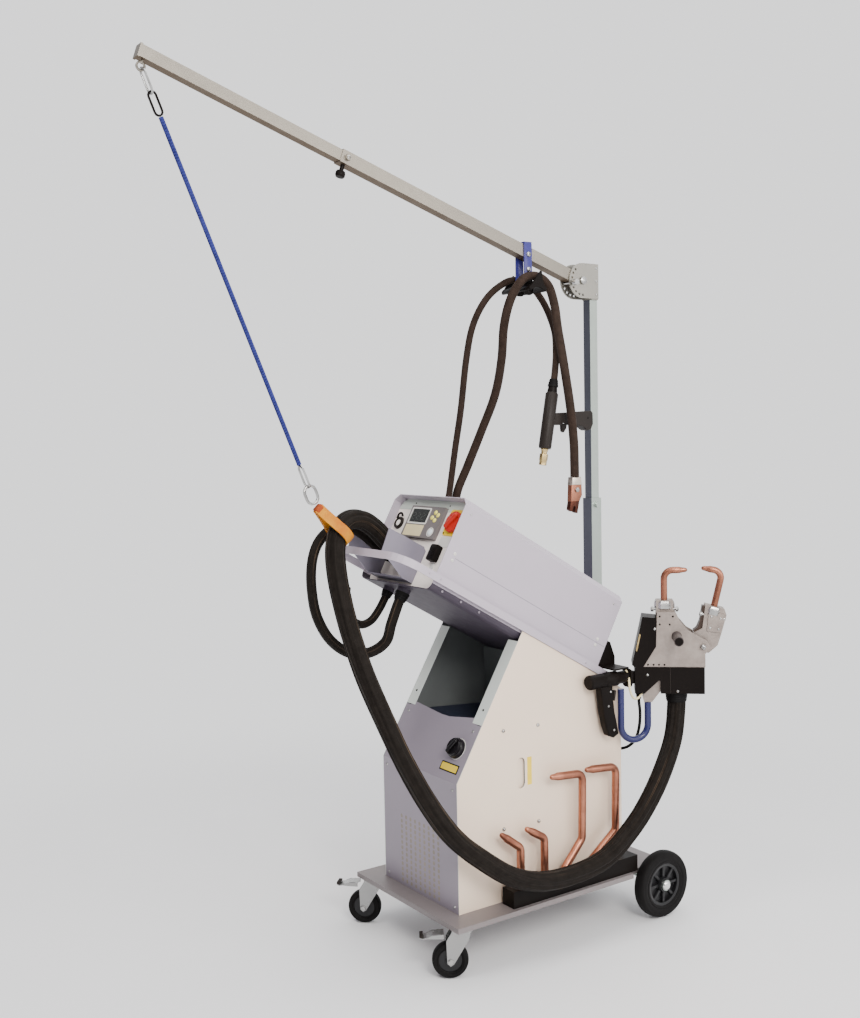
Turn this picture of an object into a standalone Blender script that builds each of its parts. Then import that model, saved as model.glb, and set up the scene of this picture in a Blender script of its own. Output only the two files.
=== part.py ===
"""A mobile spot welder: a wheeled cabinet with a tilted control box, a mast with a folding boom
that carries the cables, a pincer welding gun on its side and a stud gun with its earth clamp.

Machine frame, in metres: x = 0 is the middle of the machine, y = 0 is the front edge of the
platform and the machine's rear is towards +y, z = 0 is the floor.
"""
import math

import bmesh
import bpy
from mathutils import Matrix, Vector

# ------------------------------------------------------------------ driving dimensions, metres
ORIGIN_SHIFT = (-0.0397, -0.1077, 0.0)   # moves the machine frame to the middle of its box
GAP = 0.0003                             # between pieces that touch
SHEET = 0.002                            # cabinet sheet metal

PLATFORM_WIDTH = 0.518
PLATFORM_LENGTH = 0.800
PLATFORM_TOP = 0.154
PLATFORM_LIP = 0.014
PLATFORM_SHEET = 0.0025
REAR_WIDTH = 0.466                       # between the rear wheels
NOTCH_Y = 0.645                          # where the platform narrows

AXLE_Y = 0.756
AXLE_RADIUS = 0.009
WHEEL_RADIUS = 0.100
WHEEL_WIDTH = 0.038
WHEEL_X = 0.262

CASTOR_X = 0.221
CASTOR_Y = 0.044
CASTOR_TRAIL = 0.037
CASTOR_RADIUS = 0.050
CASTOR_WIDTH = 0.030
CASTOR_TURNS = {"right": -33.0, "left": -46.0}   # degrees from straight ahead

CABINET_WIDTH = 0.372
CABINET_FRONT = 0.056
CABINET_REAR = 0.668
CABINET_FLOOR = PLATFORM_TOP + GAP
KNEE_Z = 0.518                           # where the front starts to slope
SLOPE = math.radians(31.0)               # of the upper front, from vertical
SLOPE_PANEL = 0.170                      # length of the sloped front panel
FLANGE_WIDTH = 0.044

BOX_TILT = math.radians(29.5)
BOX_ORIGIN = (0.0, 0.0078, 1.0977)       # middle of the box's front at the hood's lower edge
BOX_WIDTH = 0.354
BOX_LENGTH = 0.662
HOOD_HEIGHT = 0.226
HOOD_CHAMFER = 0.018
TRAY_DEPTH = 0.047
TRAY_CORNER = 0.020
PANEL_DEPTH = 0.028                      # how far the control panel is set back
RIM_WIDTH = 0.382
RIM_HEIGHT = 0.021
RIM_SHEET = 0.004
HANDLE_REACH = 0.130
HANDLE_CORNER = 0.070
RIM_REAR = 0.716

MAST_Y = 0.732
POST_SIZE = 0.040
POST_WALL = 0.0045
POST_TOP = 1.260
TUBE_SIZE = 0.030
TUBE_WALL = 0.002
TUBE_BOTTOM = 0.700
TUBE_TOP = 1.872

PIVOT = (0.0, 0.682, 1.928)
PLATE_RADIUS = 0.053
PLATE_SHEET = 0.004
BOOM_ANGLE = math.radians(18.4)
BOOM_SIZE = 0.035
BOOM_WALL = 0.002
BOOM_LENGTH = 0.886
EXTENSION_START = 0.640
EXTENSION_END = 1.460
INDEX_RADIUS = 0.043
INDEX_ANGLE = 191.2                      # of the pin in use, in degrees

EYE = (0.0, -0.6985, 2.3545)             # where the rope's hooks hang
SLING_TOP = (-0.018, -0.246, 1.286)      # where the shackle ends, above the sling
SLING_CENTRE = (-0.0205, -0.1730, 1.2090)
SLING_TILT = math.radians(43.0)          # of its pull, from vertical towards the front
SLING_RADIUS = 0.0370
SLING_HEIGHT = 0.094                     # of the strap's ends above the hose's middle
SLING_WIDTH = 0.030

GUN_ORIGIN = (0.213, 0.669, 0.0)
GUN_YAW = math.radians(-42.5)
GUN_BACK = -0.078                        # the gun's far side, in its own frame
GUN_PIVOT = (0.222, 0.827)
ARM_RADIUS = 0.010                       # of the gun's copper arms
SPARE_RADIUS = 0.0115
SPARE_X = 0.221

HOSE_RADIUS = 0.028
RETURN_RADIUS = 0.0150
SMALL_RETURN_RADIUS = 0.0115
STUD_CABLE_RADIUS = 0.0105
EARTH_CABLE_RADIUS = 0.0135
CONTROL_RADIUS = 0.0045
ROPE_RADIUS = 0.006

# ------------------------------------------------------------------ routes of the free cords
HOSE_ROUTE = (
    (0.284, 0.803, 0.6857), (0.284, 0.803, 0.640), (0.290, 0.782, 0.547), (0.302, 0.730, 0.469),
    (0.300, 0.674, 0.387), (0.293, 0.606, 0.310), (0.289, 0.514, 0.246), (0.286, 0.408, 0.223),
    (0.284, 0.280, 0.226), (0.279, 0.178, 0.260), (0.268, 0.085, 0.323), (0.248, 0.001, 0.399),
    (0.217, -0.056, 0.491), (0.177, -0.106, 0.607), (0.136, -0.139, 0.717), (0.091, -0.170, 0.834),
    (0.050, -0.185, 0.938), (0.020, -0.193, 1.030), (0.003, -0.197, 1.100),
    (-0.011, -0.193, 1.162), (-0.023, -0.175, 1.210), (-0.034, -0.138, 1.237),
    (-0.040, -0.092, 1.237), (-0.043, -0.050, 1.213), (-0.044, -0.012, 1.176),
    (-0.045, 0.0200, 1.1459), (-0.045, 0.0468, 1.1308),
)
RETURN_ROUTE = (
    (-0.104, 0.0428, 1.1238), (-0.104, 0.0188, 1.1374), (-0.104, -0.012, 1.160),
    (-0.103, -0.050, 1.190), (-0.101, -0.092, 1.211), (-0.097, -0.135, 1.214),
    (-0.092, -0.175, 1.200), (-0.086, -0.208, 1.168), (-0.083, -0.226, 1.118),
    (-0.088, -0.225, 1.049), (-0.093, -0.208, 0.973), (-0.085, -0.172, 0.905),
    (-0.062, -0.125, 0.866), (-0.032, -0.076, 0.866), (-0.006, -0.040, 0.896),
    (0.006, -0.029, 0.945), (0.014, -0.0100, 1.0013), (0.014, 0.0064, 1.0302),
)
SMALL_RETURN_ROUTE = (
    (-0.018, -0.155, 1.055), (-0.036, -0.150, 1.010), (-0.052, -0.125, 0.965),
    (-0.064, -0.085, 0.941), (-0.074, -0.045, 0.947), (-0.080, -0.014, 0.974),
    (-0.082, 0.0084, 1.0054), (-0.082, 0.0186, 1.0233),
)
STUD_ROUTE = (
    (-0.1973, 0.330, 1.080), (-0.2120, 0.330, 1.080), (-0.236, 0.332, 1.098),
    (-0.248, 0.336, 1.150), (-0.246, 0.344, 1.225), (-0.235, 0.350, 1.285),
    (-0.220, 0.365, 1.418), (-0.190, 0.368, 1.541), (-0.150, 0.361, 1.691),
    (-0.115, 0.363, 1.793), (-0.080, 0.391, 1.871), (-0.048, 0.436, 1.915),
    (-0.040, 0.478, 1.923), (-0.040, 0.522, 1.915), (-0.040, 0.557, 1.886),
    (-0.012, 0.567, 1.838), (0.030, 0.560, 1.768), (0.060, 0.538, 1.700),
    (0.075, 0.5189, 1.6403), (0.075, 0.5114, 1.6012),
)
EARTH_ROUTE = (
    (-0.1973, 0.400, 1.040), (-0.2150, 0.400, 1.040), (-0.245, 0.400, 1.062),
    (-0.259, 0.397, 1.125), (-0.254, 0.388, 1.210), (-0.235, 0.380, 1.283),
    (-0.200, 0.399, 1.371), (-0.160, 0.425, 1.478), (-0.110, 0.439, 1.584),
    (-0.070, 0.434, 1.687), (-0.022, 0.408, 1.785), (0.020, 0.403, 1.862),
    (0.036, 0.437, 1.916), (0.042, 0.484, 1.926), (0.044, 0.525, 1.902),
    (0.050, 0.543, 1.845), (0.074, 0.534, 1.770), (0.098, 0.532, 1.680),
    (0.113, 0.546, 1.540),
    (0.116, 0.555, 1.440), (0.112, 0.560, 1.375), (0.112, 0.560, 1.3342),
)
CONTROL_ROUTE = (
    (0.222, 0.7083, 0.6857), (0.222, 0.7083, 0.660), (0.222, 0.713, 0.618),
    (0.213, 0.716, 0.570), (0.194, 0.718, 0.532), (0.170, 0.712, 0.508),
    (0.152, 0.698, 0.500), (0.150, 0.6805, 0.500),
)

PAINT_GREY = ("painted grey", (0.40, 0.36, 0.38), 0.55, 0.1)
PAINT_CREAM = ("painted cream", (0.76, 0.68, 0.58), 0.5, 0.0)
PAINT_LILAC = ("painted light grey", (0.58, 0.54, 0.58), 0.45, 0.1)
PAINT_BLUE = ("painted blue", (0.14, 0.16, 0.45), 0.4, 0.1)
ZINC = ("zinc plated steel", (0.62, 0.64, 0.60), 0.35, 0.9)
STEEL = ("bright steel", (0.70, 0.70, 0.70), 0.25, 1.0)
COPPER = ("copper", (0.70, 0.36, 0.26), 0.35, 1.0)
BRASS = ("brass", (0.72, 0.55, 0.28), 0.35, 1.0)
ALUMINIUM = ("aluminium", (0.74, 0.68, 0.63), 0.4, 0.9)
RUBBER = ("black rubber", (0.02, 0.02, 0.02), 0.75, 0.0)
BLACK_PLASTIC = ("black plastic", (0.03, 0.03, 0.035), 0.5, 0.0)
GREY_PLASTIC = ("grey plastic", (0.25, 0.23, 0.22), 0.5, 0.0)
RED_PLASTIC = ("red plastic", (0.62, 0.06, 0.05), 0.4, 0.0)
WHITE_PLASTIC = ("white plastic", (0.75, 0.78, 0.82), 0.4, 0.0)
TEXTILE = ("woven sleeve", (0.035, 0.03, 0.027), 0.9, 0.0)
CABLE_TEXTILE = ("brown woven sleeve", (0.09, 0.065, 0.05), 0.9, 0.0)
ROPE_BLUE = ("blue rope", (0.10, 0.13, 0.42), 0.8, 0.0)
LEATHER = ("leather", (0.62, 0.28, 0.09), 0.7, 0.0)
LAMINATION = ("transformer iron", (0.12, 0.12, 0.13), 0.6, 0.6)

SIDE_ON = (math.pi / 2, 0.0, math.pi / 2)    # an outline drawn in (y, z)
FRONT_ON = (math.pi / 2, 0.0, 0.0)           # an outline drawn in (x, z)
FLAT = (0.0, 0.0, 0.0)                       # an outline drawn in (x, y)
ALONG = {"x": (0.0, math.pi / 2, 0.0), "y": (-math.pi / 2, 0.0, 0.0), "z": (0.0, 0.0, 0.0)}


# ------------------------------------------------------------------ scene, materials, frames
def clear_scene():
    for obj in list(bpy.data.objects):
        bpy.data.objects.remove(obj, do_unlink=True)


def new_collection(name):
    collection = bpy.data.collections.new(name)
    bpy.context.scene.collection.children.link(collection)
    return collection


clear_scene()
PARTS = new_collection("spot_welder")
CUTTERS = new_collection("cutters")


def material(finish):
    name, colour, roughness, metallic = finish
    found = bpy.data.materials.get(name)
    if found:
        return found
    made = bpy.data.materials.new(name)
    made.use_nodes = True
    shader = made.node_tree.nodes["Principled BSDF"]
    shader.inputs["Base Color"].default_value = (*colour, 1.0)
    shader.inputs["Roughness"].default_value = roughness
    shader.inputs["Metallic"].default_value = metallic
    made.diffuse_color = (*colour, 1.0)
    return made


def frame(name, location=(0, 0, 0), rotation=(0, 0, 0), parent=None):
    empty = bpy.data.objects.new(name, None)
    empty.location = location
    empty.rotation_euler = rotation
    empty.parent = parent
    PARTS.objects.link(empty)
    return empty


MACHINE = frame("machine_frame", ORIGIN_SHIFT)
BOX = frame("box_frame", BOX_ORIGIN, (-BOX_TILT, 0, 0), MACHINE)
BOOM = frame("boom_frame", PIVOT, (-BOOM_ANGLE, 0, 0), MACHINE)
GUN = frame("gun_frame_axes", GUN_ORIGIN, (0, 0, GUN_YAW), MACHINE)


# ------------------------------------------------------------------ modelling helpers
def finish_object(obj, finish, parent, collection=PARTS):
    obj.parent = parent
    if obj.name not in collection.objects:
        collection.objects.link(obj)
    if finish:
        obj.data.materials.clear()
        obj.data.materials.append(material(finish))
    return obj


def block(name, size, centre, finish, parent=MACHINE, rotation=(0, 0, 0), collection=PARTS):
    mesh = bpy.data.meshes.new(name)
    bm = bmesh.new()
    bmesh.ops.create_cube(bm, size=1.0)
    bmesh.ops.scale(bm, vec=Vector(size), verts=bm.verts)
    bm.to_mesh(mesh)
    bm.free()
    obj = bpy.data.objects.new(name, mesh)
    obj.location = centre
    obj.rotation_euler = rotation
    return finish_object(obj, finish, parent, collection)


def rod(name, radius, length, centre, axis, finish, parent=MACHINE, sides=24, end_radius=None,
        collection=PARTS):
    mesh = bpy.data.meshes.new(name)
    bm = bmesh.new()
    top = radius if end_radius is None else end_radius
    bmesh.ops.create_cone(bm, cap_ends=True, segments=sides, radius1=radius, radius2=top,
                          depth=length)
    bm.to_mesh(mesh)
    bm.free()
    obj = bpy.data.objects.new(name, mesh)
    obj.location = centre
    obj.rotation_euler = ALONG[axis] if isinstance(axis, str) else axis
    return finish_object(obj, finish, parent, collection)


def mesh_from_curve(obj):
    """The curve as a mesh object with its caps welded on, in the same place."""
    bpy.context.view_layer.update()
    depsgraph = bpy.context.evaluated_depsgraph_get()
    mesh = bpy.data.meshes.new_from_object(obj.evaluated_get(depsgraph))
    bm = bmesh.new()
    bm.from_mesh(mesh)
    bmesh.ops.remove_doubles(bm, verts=bm.verts, dist=0.00001)
    bmesh.ops.recalc_face_normals(bm, faces=bm.faces)
    bm.to_mesh(mesh)
    bm.free()
    made = bpy.data.objects.new(obj.name + "_mesh", mesh)
    made.parent = obj.parent
    made.matrix_world = obj.matrix_world
    name = obj.name
    bpy.data.objects.remove(obj)
    made.name = name
    return made


def plate(name, loops, thickness, centre, rotation, finish, parent=MACHINE, collection=PARTS):
    """A flat outline, with its holes, given a thickness about its own plane."""
    curve = bpy.data.curves.new(name, "CURVE")
    curve.dimensions = "2D"
    curve.fill_mode = "BOTH"
    curve.extrude = thickness / 2
    for points in loops:
        spline = curve.splines.new("POLY")
        spline.points.add(len(points) - 1)
        for point, (u, v) in zip(spline.points, points):
            point.co = (u, v, 0.0, 1.0)
        spline.use_cyclic_u = True
    obj = bpy.data.objects.new(name, curve)
    obj.parent = parent
    obj.location = centre
    obj.rotation_euler = rotation
    collection.objects.link(obj)
    return finish_object(mesh_from_curve(obj), finish, parent, collection)


def tube(name, points, radius, finish, parent=MACHINE, resolution=2, closed=False):
    curve = bpy.data.curves.new(name, "CURVE")
    curve.dimensions = "3D"
    curve.bevel_depth = radius
    curve.bevel_resolution = resolution
    curve.use_fill_caps = not closed
    spline = curve.splines.new("POLY")
    spline.points.add(len(points) - 1)
    for point, place in zip(spline.points, points):
        point.co = (*place, 1.0)
    spline.use_cyclic_u = closed
    obj = bpy.data.objects.new(name, curve)
    return finish_object(obj, finish, parent)


def turned(name, profile, finish, steps, rotation, centre, parent=MACHINE, closed=False):
    """A profile of (radius, height) points spun about the object's Z axis."""
    mesh = bpy.data.meshes.new(name)
    bm = bmesh.new()
    verts = [bm.verts.new((radius, 0.0, height)) for radius, height in profile]
    pairs = list(zip(verts, verts[1:]))
    if closed:
        pairs.append((verts[-1], verts[0]))
    for first, second in pairs:
        bm.edges.new((first, second))
    bm.to_mesh(mesh)
    bm.free()
    obj = bpy.data.objects.new(name, mesh)
    obj.rotation_euler = rotation
    obj.location = centre
    screw = obj.modifiers.new("spin", "SCREW")
    screw.angle = math.tau
    screw.steps = steps
    screw.render_steps = steps
    screw.use_merge_vertices = True
    screw.merge_threshold = 0.00001
    return finish_object(obj, finish, parent)


def combine(target, piece, operation):
    if target.name in CUTTERS.objects:
        raise ValueError("the target is a cutter")
    if piece.name in PARTS.objects:
        PARTS.objects.unlink(piece)
        CUTTERS.objects.link(piece)
    piece.hide_render = True
    piece.display_type = "WIRE"
    modifier = target.modifiers.new(operation.lower(), "BOOLEAN")
    modifier.operation = operation
    modifier.solver = "EXACT"
    modifier.object = piece


def cut(target, *pieces):
    for piece in pieces:
        combine(target, piece, "DIFFERENCE")


def join(target, *pieces):
    for piece in pieces:
        combine(target, piece, "UNION")


def circle(centre, radius, count=12, start=0.0, sweep=math.tau):
    """Points round a circle, or along an arc with both of its ends."""
    steps = count if abs(sweep) >= math.tau - 1e-6 else count - 1
    angles = [start + sweep * index / steps for index in range(count)]
    return [(centre[0] + radius * math.cos(a), centre[1] + radius * math.sin(a)) for a in angles]


def rounded(points, radii, steps=4):
    """A 2D or 3D path with its inner corners rounded by arcs of the given radii."""
    path = [Vector(points[0])]
    for before, corner, after, radius in zip(points, points[1:], points[2:], radii):
        corner = Vector(corner)
        arriving = (Vector(before) - corner).normalized()
        leaving = (Vector(after) - corner).normalized()
        half = arriving.angle(leaving) / 2
        reach = radius / math.tan(half)
        middle = corner + (arriving + leaving).normalized() * (radius / math.sin(half))
        start = corner + arriving * reach - middle
        end = corner + leaving * reach - middle
        for index in range(steps + 1):
            share = index / steps
            turn = start.lerp(end, share)
            angle = start.angle(end)
            first = math.sin((1 - share) * angle) / math.sin(angle)
            second = math.sin(share * angle) / math.sin(angle)
            turn = start * first + end * second
            path.append(middle + turn)
    path.append(Vector(points[-1]))
    return path


def sheet_outline(path, thickness):
    """The closed outline of a sheet bent along a path, with its thickness to the path's right."""
    path = [Vector(point) for point in path]
    inner = []
    for index, point in enumerate(path):
        before = (point - path[index - 1]).normalized() if index else None
        after = (path[index + 1] - point).normalized() if index < len(path) - 1 else None
        before = before or after
        after = after or before
        mean = (before + after).normalized()
        normal = Vector((mean.y, -mean.x))
        edge = Vector((after.y, -after.x))
        inner.append(point + normal * (thickness / normal.dot(edge)))
    return [tuple(p) for p in path] + [tuple(p) for p in reversed(inner)]


def smooth(points, spacing):
    """Points along a smooth curve through the given ones, about the spacing apart."""
    points = [Vector(p) for p in points]
    padded = [2 * points[0] - points[1]] + points + [2 * points[-1] - points[-2]]
    path = [points[0]]
    for a, b, c, d in zip(padded, padded[1:], padded[2:], padded[3:]):
        count = max(1, round((c - b).length / spacing))
        for index in range(1, count + 1):
            t = index / count
            path.append(0.5 * (2 * b + (c - a) * t + (2 * a - 5 * b + 4 * c - d) * t ** 2
                               + (3 * b - a - 3 * c + d) * t ** 3))
    return path


def cord(name, route, radius, finish, spacing, resolution=2):
    return tube(name, smooth(route, spacing), radius, finish, resolution=resolution)


def under_tray(y):
    """Height of the control box's underside above the floor at y."""
    return (BOX_ORIGIN[2] - (y - BOX_ORIGIN[1]) * math.tan(BOX_TILT)
            - TRAY_DEPTH / math.cos(BOX_TILT))


def on_slope(distance):
    """The (y, z) point that lies this far up the sloped front from its knee."""
    return (CABINET_FRONT + distance * math.sin(SLOPE), KNEE_Z + distance * math.cos(SLOPE))


def slope_length():
    return ((under_tray(CABINET_FRONT) - KNEE_Z)
            / (math.cos(SLOPE) + math.sin(SLOPE) * math.tan(BOX_TILT)))


# ------------------------------------------------------------------ platform and running gear
def platform_loop(inset):
    half = PLATFORM_WIDTH / 2 - inset
    rear_half = REAR_WIDTH / 2 - inset
    front, rear, notch = inset, PLATFORM_LENGTH - inset, NOTCH_Y - inset
    return [(-half, front), (half, front), (half, notch), (rear_half, notch),
            (rear_half, rear), (-rear_half, rear), (-rear_half, notch), (-half, notch)]


def make_platform():
    platform = plate("platform", [platform_loop(0.0)], PLATFORM_LIP,
                     (0, 0, PLATFORM_TOP - PLATFORM_LIP / 2), FLAT, PAINT_GREY)
    hollow = plate("platform_hollow", [platform_loop(PLATFORM_SHEET)], PLATFORM_LIP,
                   (0, 0, PLATFORM_TOP - PLATFORM_LIP / 2 - PLATFORM_SHEET), FLAT, None,
                   collection=CUTTERS)
    cut(platform, hollow)


def make_rear_axle():
    axle = rod("rear_axle", AXLE_RADIUS, 0.576, (0, AXLE_Y, WHEEL_RADIUS), "x", ZINC)
    top = PLATFORM_TOP - PLATFORM_SHEET - GAP
    for side in (-1, 1):
        cheek = block("axle_cheek", (0.006, 0.056, top - 0.082),
                      (side * 0.205, AXLE_Y, (top + 0.082) / 2), None)
        collar = rod("axle_collar", 0.014, 0.005, (side * 0.2400, AXLE_Y, WHEEL_RADIUS), "x", None)
        cap = rod("axle_cap", 0.016, 0.004, (side * 0.2837, AXLE_Y, WHEEL_RADIUS), "x", None)
        join(axle, cheek, collar, cap)


def make_rear_wheels():
    half = WHEEL_WIDTH / 2
    bore = AXLE_RADIUS + 0.0007
    profile = [(WHEEL_RADIUS - 0.010, half), (WHEEL_RADIUS - 0.002, half - 0.007),
               (WHEEL_RADIUS, 0.0), (WHEEL_RADIUS - 0.002, 0.007 - half),
               (WHEEL_RADIUS - 0.010, -half), (0.068, -half), (0.062, 0.006 - half),
               (0.026, 0.006 - half), (0.022, 0.001 - half), (bore, 0.001 - half),
               (bore, half - 0.001), (0.022, half - 0.001), (0.026, half - 0.006),
               (0.062, half - 0.006), (0.068, half)]
    for side, name in ((1, "rear_wheel_right"), (-1, "rear_wheel_left")):
        turned(name, profile, RUBBER, 32, ALONG["x"], (side * WHEEL_X, AXLE_Y, WHEEL_RADIUS),
               closed=True)


def make_castor(side, hand):
    swivel = frame("castor_axis_" + hand, (side * CASTOR_X, CASTOR_Y, 0),
                   (0, 0, math.radians(CASTOR_TURNS[hand])), MACHINE)
    head_top = PLATFORM_TOP - PLATFORM_SHEET - GAP
    fork = rod("castor_fork_" + hand, 0.023, 0.018, (0, 0, head_top - 0.009), "z", ZINC, swivel)
    crown = block("fork_crown", (0.048, 0.054, 0.006), (0, -0.006, 0.1335), None, swivel)
    outline = [(0.019, 0.1345), (-0.031, 0.1345), (-0.048, 0.108), (-CASTOR_TRAIL - 0.009, 0.046),
               (-CASTOR_TRAIL, 0.038), (-CASTOR_TRAIL + 0.009, 0.044), (0.014, 0.112)]
    cheeks = [plate("fork_cheek", [outline], 0.003, (sign * 0.0215, 0, 0), SIDE_ON, None, swivel)
              for sign in (-1, 1)]
    pin = rod("fork_pin", 0.005, 0.050, (0, -CASTOR_TRAIL, CASTOR_RADIUS), "x", None, swivel, 16)
    join(fork, crown, *cheeks, pin)
    half = CASTOR_WIDTH / 2
    profile = [(CASTOR_RADIUS - 0.004, half), (CASTOR_RADIUS, half - 0.006),
               (CASTOR_RADIUS, 0.006 - half), (CASTOR_RADIUS - 0.004, -half),
               (0.034, -half), (0.031, 0.003 - half), (0.013, 0.003 - half),
               (0.011, -half - 0.003), (0.0056, -half - 0.003), (0.0056, half + 0.003),
               (0.011, half + 0.003), (0.013, half - 0.003), (0.031, half - 0.003), (0.034, half)]
    turned("castor_wheel_" + hand, profile, RUBBER, 28, ALONG["x"],
           (0, -CASTOR_TRAIL, CASTOR_RADIUS), swivel, closed=True)
    make_brake(hand, swivel)


def make_brake(hand, swivel):
    """The pedal turns on a pin in front of the fork's crown."""
    pedal_y, pedal_z = -0.058, 0.122
    path = rounded([(0.004, 0.0), (-0.020, 0.003), (-0.050, -0.010), (-0.062, -0.004)],
                   (0.012, 0.010), 2)
    pedal = plate("castor_brake_" + hand, [sheet_outline([(p.x, p.y) for p in path], 0.0025)],
                  0.036, (0, pedal_y, pedal_z), SIDE_ON, ZINC, swivel)
    barrel = rod("pedal_barrel", 0.005, 0.040, (0, pedal_y, pedal_z - 0.001), "x", None, swivel, 12)
    join(pedal, barrel)


# ------------------------------------------------------------------ cabinet
def under_rim(y):
    """Height of the lower edge of the box's rim at depth y."""
    return (BOX_ORIGIN[2] - (y - BOX_ORIGIN[1]) * math.tan(BOX_TILT)
            - (RIM_HEIGHT + GAP) / math.cos(BOX_TILT))


def side_panel_loop():
    """The cabinet's side, which stands beside the tray and reaches up to the rim."""
    gap = under_rim(CABINET_FRONT) - KNEE_Z
    top = gap / (math.cos(SLOPE) + math.sin(SLOPE) * math.tan(BOX_TILT))
    corner = on_slope(top)
    return [(CABINET_FRONT, CABINET_FLOOR), (CABINET_REAR, CABINET_FLOOR),
            (CABINET_REAR, under_rim(CABINET_REAR)), corner, (CABINET_FRONT, KNEE_Z)]


def slot_loop(y, low, high, half):
    return (circle((y, high), half, 6, 0.0, math.pi) + circle((y, low), half, 6, math.pi, math.pi))


def make_side_panels():
    flange_from, flange_to = SLOPE_PANEL + 0.002, slope_length() - 0.006
    for side, hand in ((1, "right"), (-1, "left")):
        loops = [side_panel_loop()]
        if side > 0:
            loops.append(slot_loop(0.280, 0.479, 0.539, 0.0145))
        panel = plate("side_panel_" + hand, loops, SHEET,
                      (side * (CABINET_WIDTH / 2 - SHEET / 2), 0, 0), SIDE_ON, PAINT_CREAM)
        middle = on_slope((flange_from + flange_to) / 2)
        inward = (math.cos(SLOPE) * SHEET / 2, -math.sin(SLOPE) * SHEET / 2)
        flange = block("slope_flange", (FLANGE_WIDTH, SHEET, flange_to - flange_from),
                       (side * (CABINET_WIDTH - FLANGE_WIDTH) / 2, middle[0] + inward[0],
                        middle[1] + inward[1]), None, rotation=(-SLOPE, 0, 0))
        foot = block("panel_foot", (0.020, 0.560, SHEET),
                     (side * (CABINET_WIDTH / 2 - 0.010), 0.370, CABINET_FLOOR + SHEET / 2), None)
        join(panel, flange, foot)


def inner_width():
    return CABINET_WIDTH - 2 * SHEET - 2 * GAP


def make_front_panel():
    path = [(CABINET_FRONT, CABINET_FLOOR), (CABINET_FRONT, KNEE_Z), on_slope(SLOPE_PANEL)]
    plate("front_panel", [sheet_outline(path, SHEET)], inner_width(), (0, 0, 0), SIDE_ON,
          PAINT_GREY)


def make_rear_panel():
    height = under_tray(CABINET_REAR) - CABINET_FLOOR - 0.004
    panel = block("rear_panel", (inner_width(), SHEET, height),
                  (0, CABINET_REAR - SHEET / 2, CABINET_FLOOR + height / 2), PAINT_GREY)
    for place in ((0.150, 0.500), (-0.110, 0.260)):
        gland = rod("rear_gland", 0.011, 0.013, (place[0], CABINET_REAR + 0.0055, place[1]), "y",
                    None, sides=12)
        join(panel, gland)


def make_storage_bin():
    front = on_slope(SLOPE_PANEL - 0.006)
    back_y = 0.420
    start = (front[0] + 0.006, front[1] - 0.010)
    floor = (back_y, front[1] - 0.030)
    path = [start, floor, (back_y, under_tray(back_y) - 0.004)]
    plate("storage_bin", [sheet_outline(path, SHEET)], inner_width() - 0.041, (0, 0, 0), SIDE_ON,
          PAINT_GREY)


def make_transformer():
    core = block("transformer", (0.200, 0.240, 0.200), (0, 0.440, CABINET_FLOOR + 0.120),
                 LAMINATION)
    base = block("transformer_foot", (0.240, 0.280, 0.024), (0, 0.440, CABINET_FLOOR + 0.012), None)
    winding = block("winding", (0.250, 0.120, 0.150), (0, 0.440, CABINET_FLOOR + 0.130), None)
    join(core, base, winding)


def make_regulator_knob():
    place = on_slope(0.091)
    out = (-math.cos(SLOPE), math.sin(SLOPE))
    turned("regulator_knob", [(0.0, 0.030), (0.0240, 0.030), (0.0262, 0.027), (0.0262, 0.015),
                              (0.0292, 0.012), (0.0292, 0.0), (0.0, 0.0)], BLACK_PLASTIC, 24,
           (math.pi / 2 - SLOPE, 0, 0), (0.128, place[0] + out[0] * GAP, place[1] + out[1] * GAP))


# ------------------------------------------------------------------ control box
def tray_section():
    half, depth = BOX_WIDTH / 2, TRAY_DEPTH
    path = rounded([(half, 0.0), (half, -depth), (-half, -depth), (-half, 0.0)],
                   (TRAY_CORNER, TRAY_CORNER))
    return sheet_outline([(p.x, p.y) for p in path], SHEET)


def hood_path():
    half, top, corner = BOX_WIDTH / 2, HOOD_HEIGHT, HOOD_CHAMFER
    return [(-half, GAP), (-half, top - corner), (corner - half, top), (half - corner, top),
            (half, top - corner), (half, GAP)]


def make_box_tray():
    half = BOX_WIDTH / 2
    tray = plate("box_tray", [tray_section()], BOX_LENGTH, (0, BOX_LENGTH / 2, 0), FRONT_ON,
                 PAINT_LILAC, BOX)
    rear = block("tray_rear", (BOX_WIDTH - 0.030, SHEET, TRAY_DEPTH - 0.001),
                 (0, BOX_LENGTH - SHEET / 2, -TRAY_DEPTH / 2 - 0.0005), None, BOX)
    rim_half = RIM_WIDTH / 2
    path = rounded([(rim_half, RIM_REAR), (rim_half, -HANDLE_REACH), (-rim_half, -HANDLE_REACH),
                    (-rim_half, RIM_REAR)], (HANDLE_CORNER, HANDLE_CORNER), 6)
    rim = plate("rim", [sheet_outline([(p.x, p.y) for p in path], RIM_SHEET)], RIM_HEIGHT,
                (0, 0, -RIM_HEIGHT / 2), FLAT, None, BOX)
    pieces = [rear, rim]
    for side in (-1, 1):
        pieces.append(block("rim_ledge", (rim_half - half, BOX_LENGTH, SHEET),
                            (side * ((rim_half + half) / 2 - 0.001), BOX_LENGTH / 2, -0.0050),
                            None, BOX))
    for (x, y), radius in (((0.014, 0.032), 0.019), ((-0.082, 0.046), 0.016)):
        pieces.append(rod("hose_gland", radius, 0.014, (x, y, -TRAY_DEPTH - 0.005), "z", None, BOX,
                          16))
    join(tray, *pieces)
    for side in (-1, 1):
        wedge = block("rim_end_cut", (0.030, 0.060, 0.060), (side * rim_half, 0.746, -0.014), None,
                      BOX, (BOX_TILT * 1.9, 0, 0))
        cut(tray, wedge)


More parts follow.
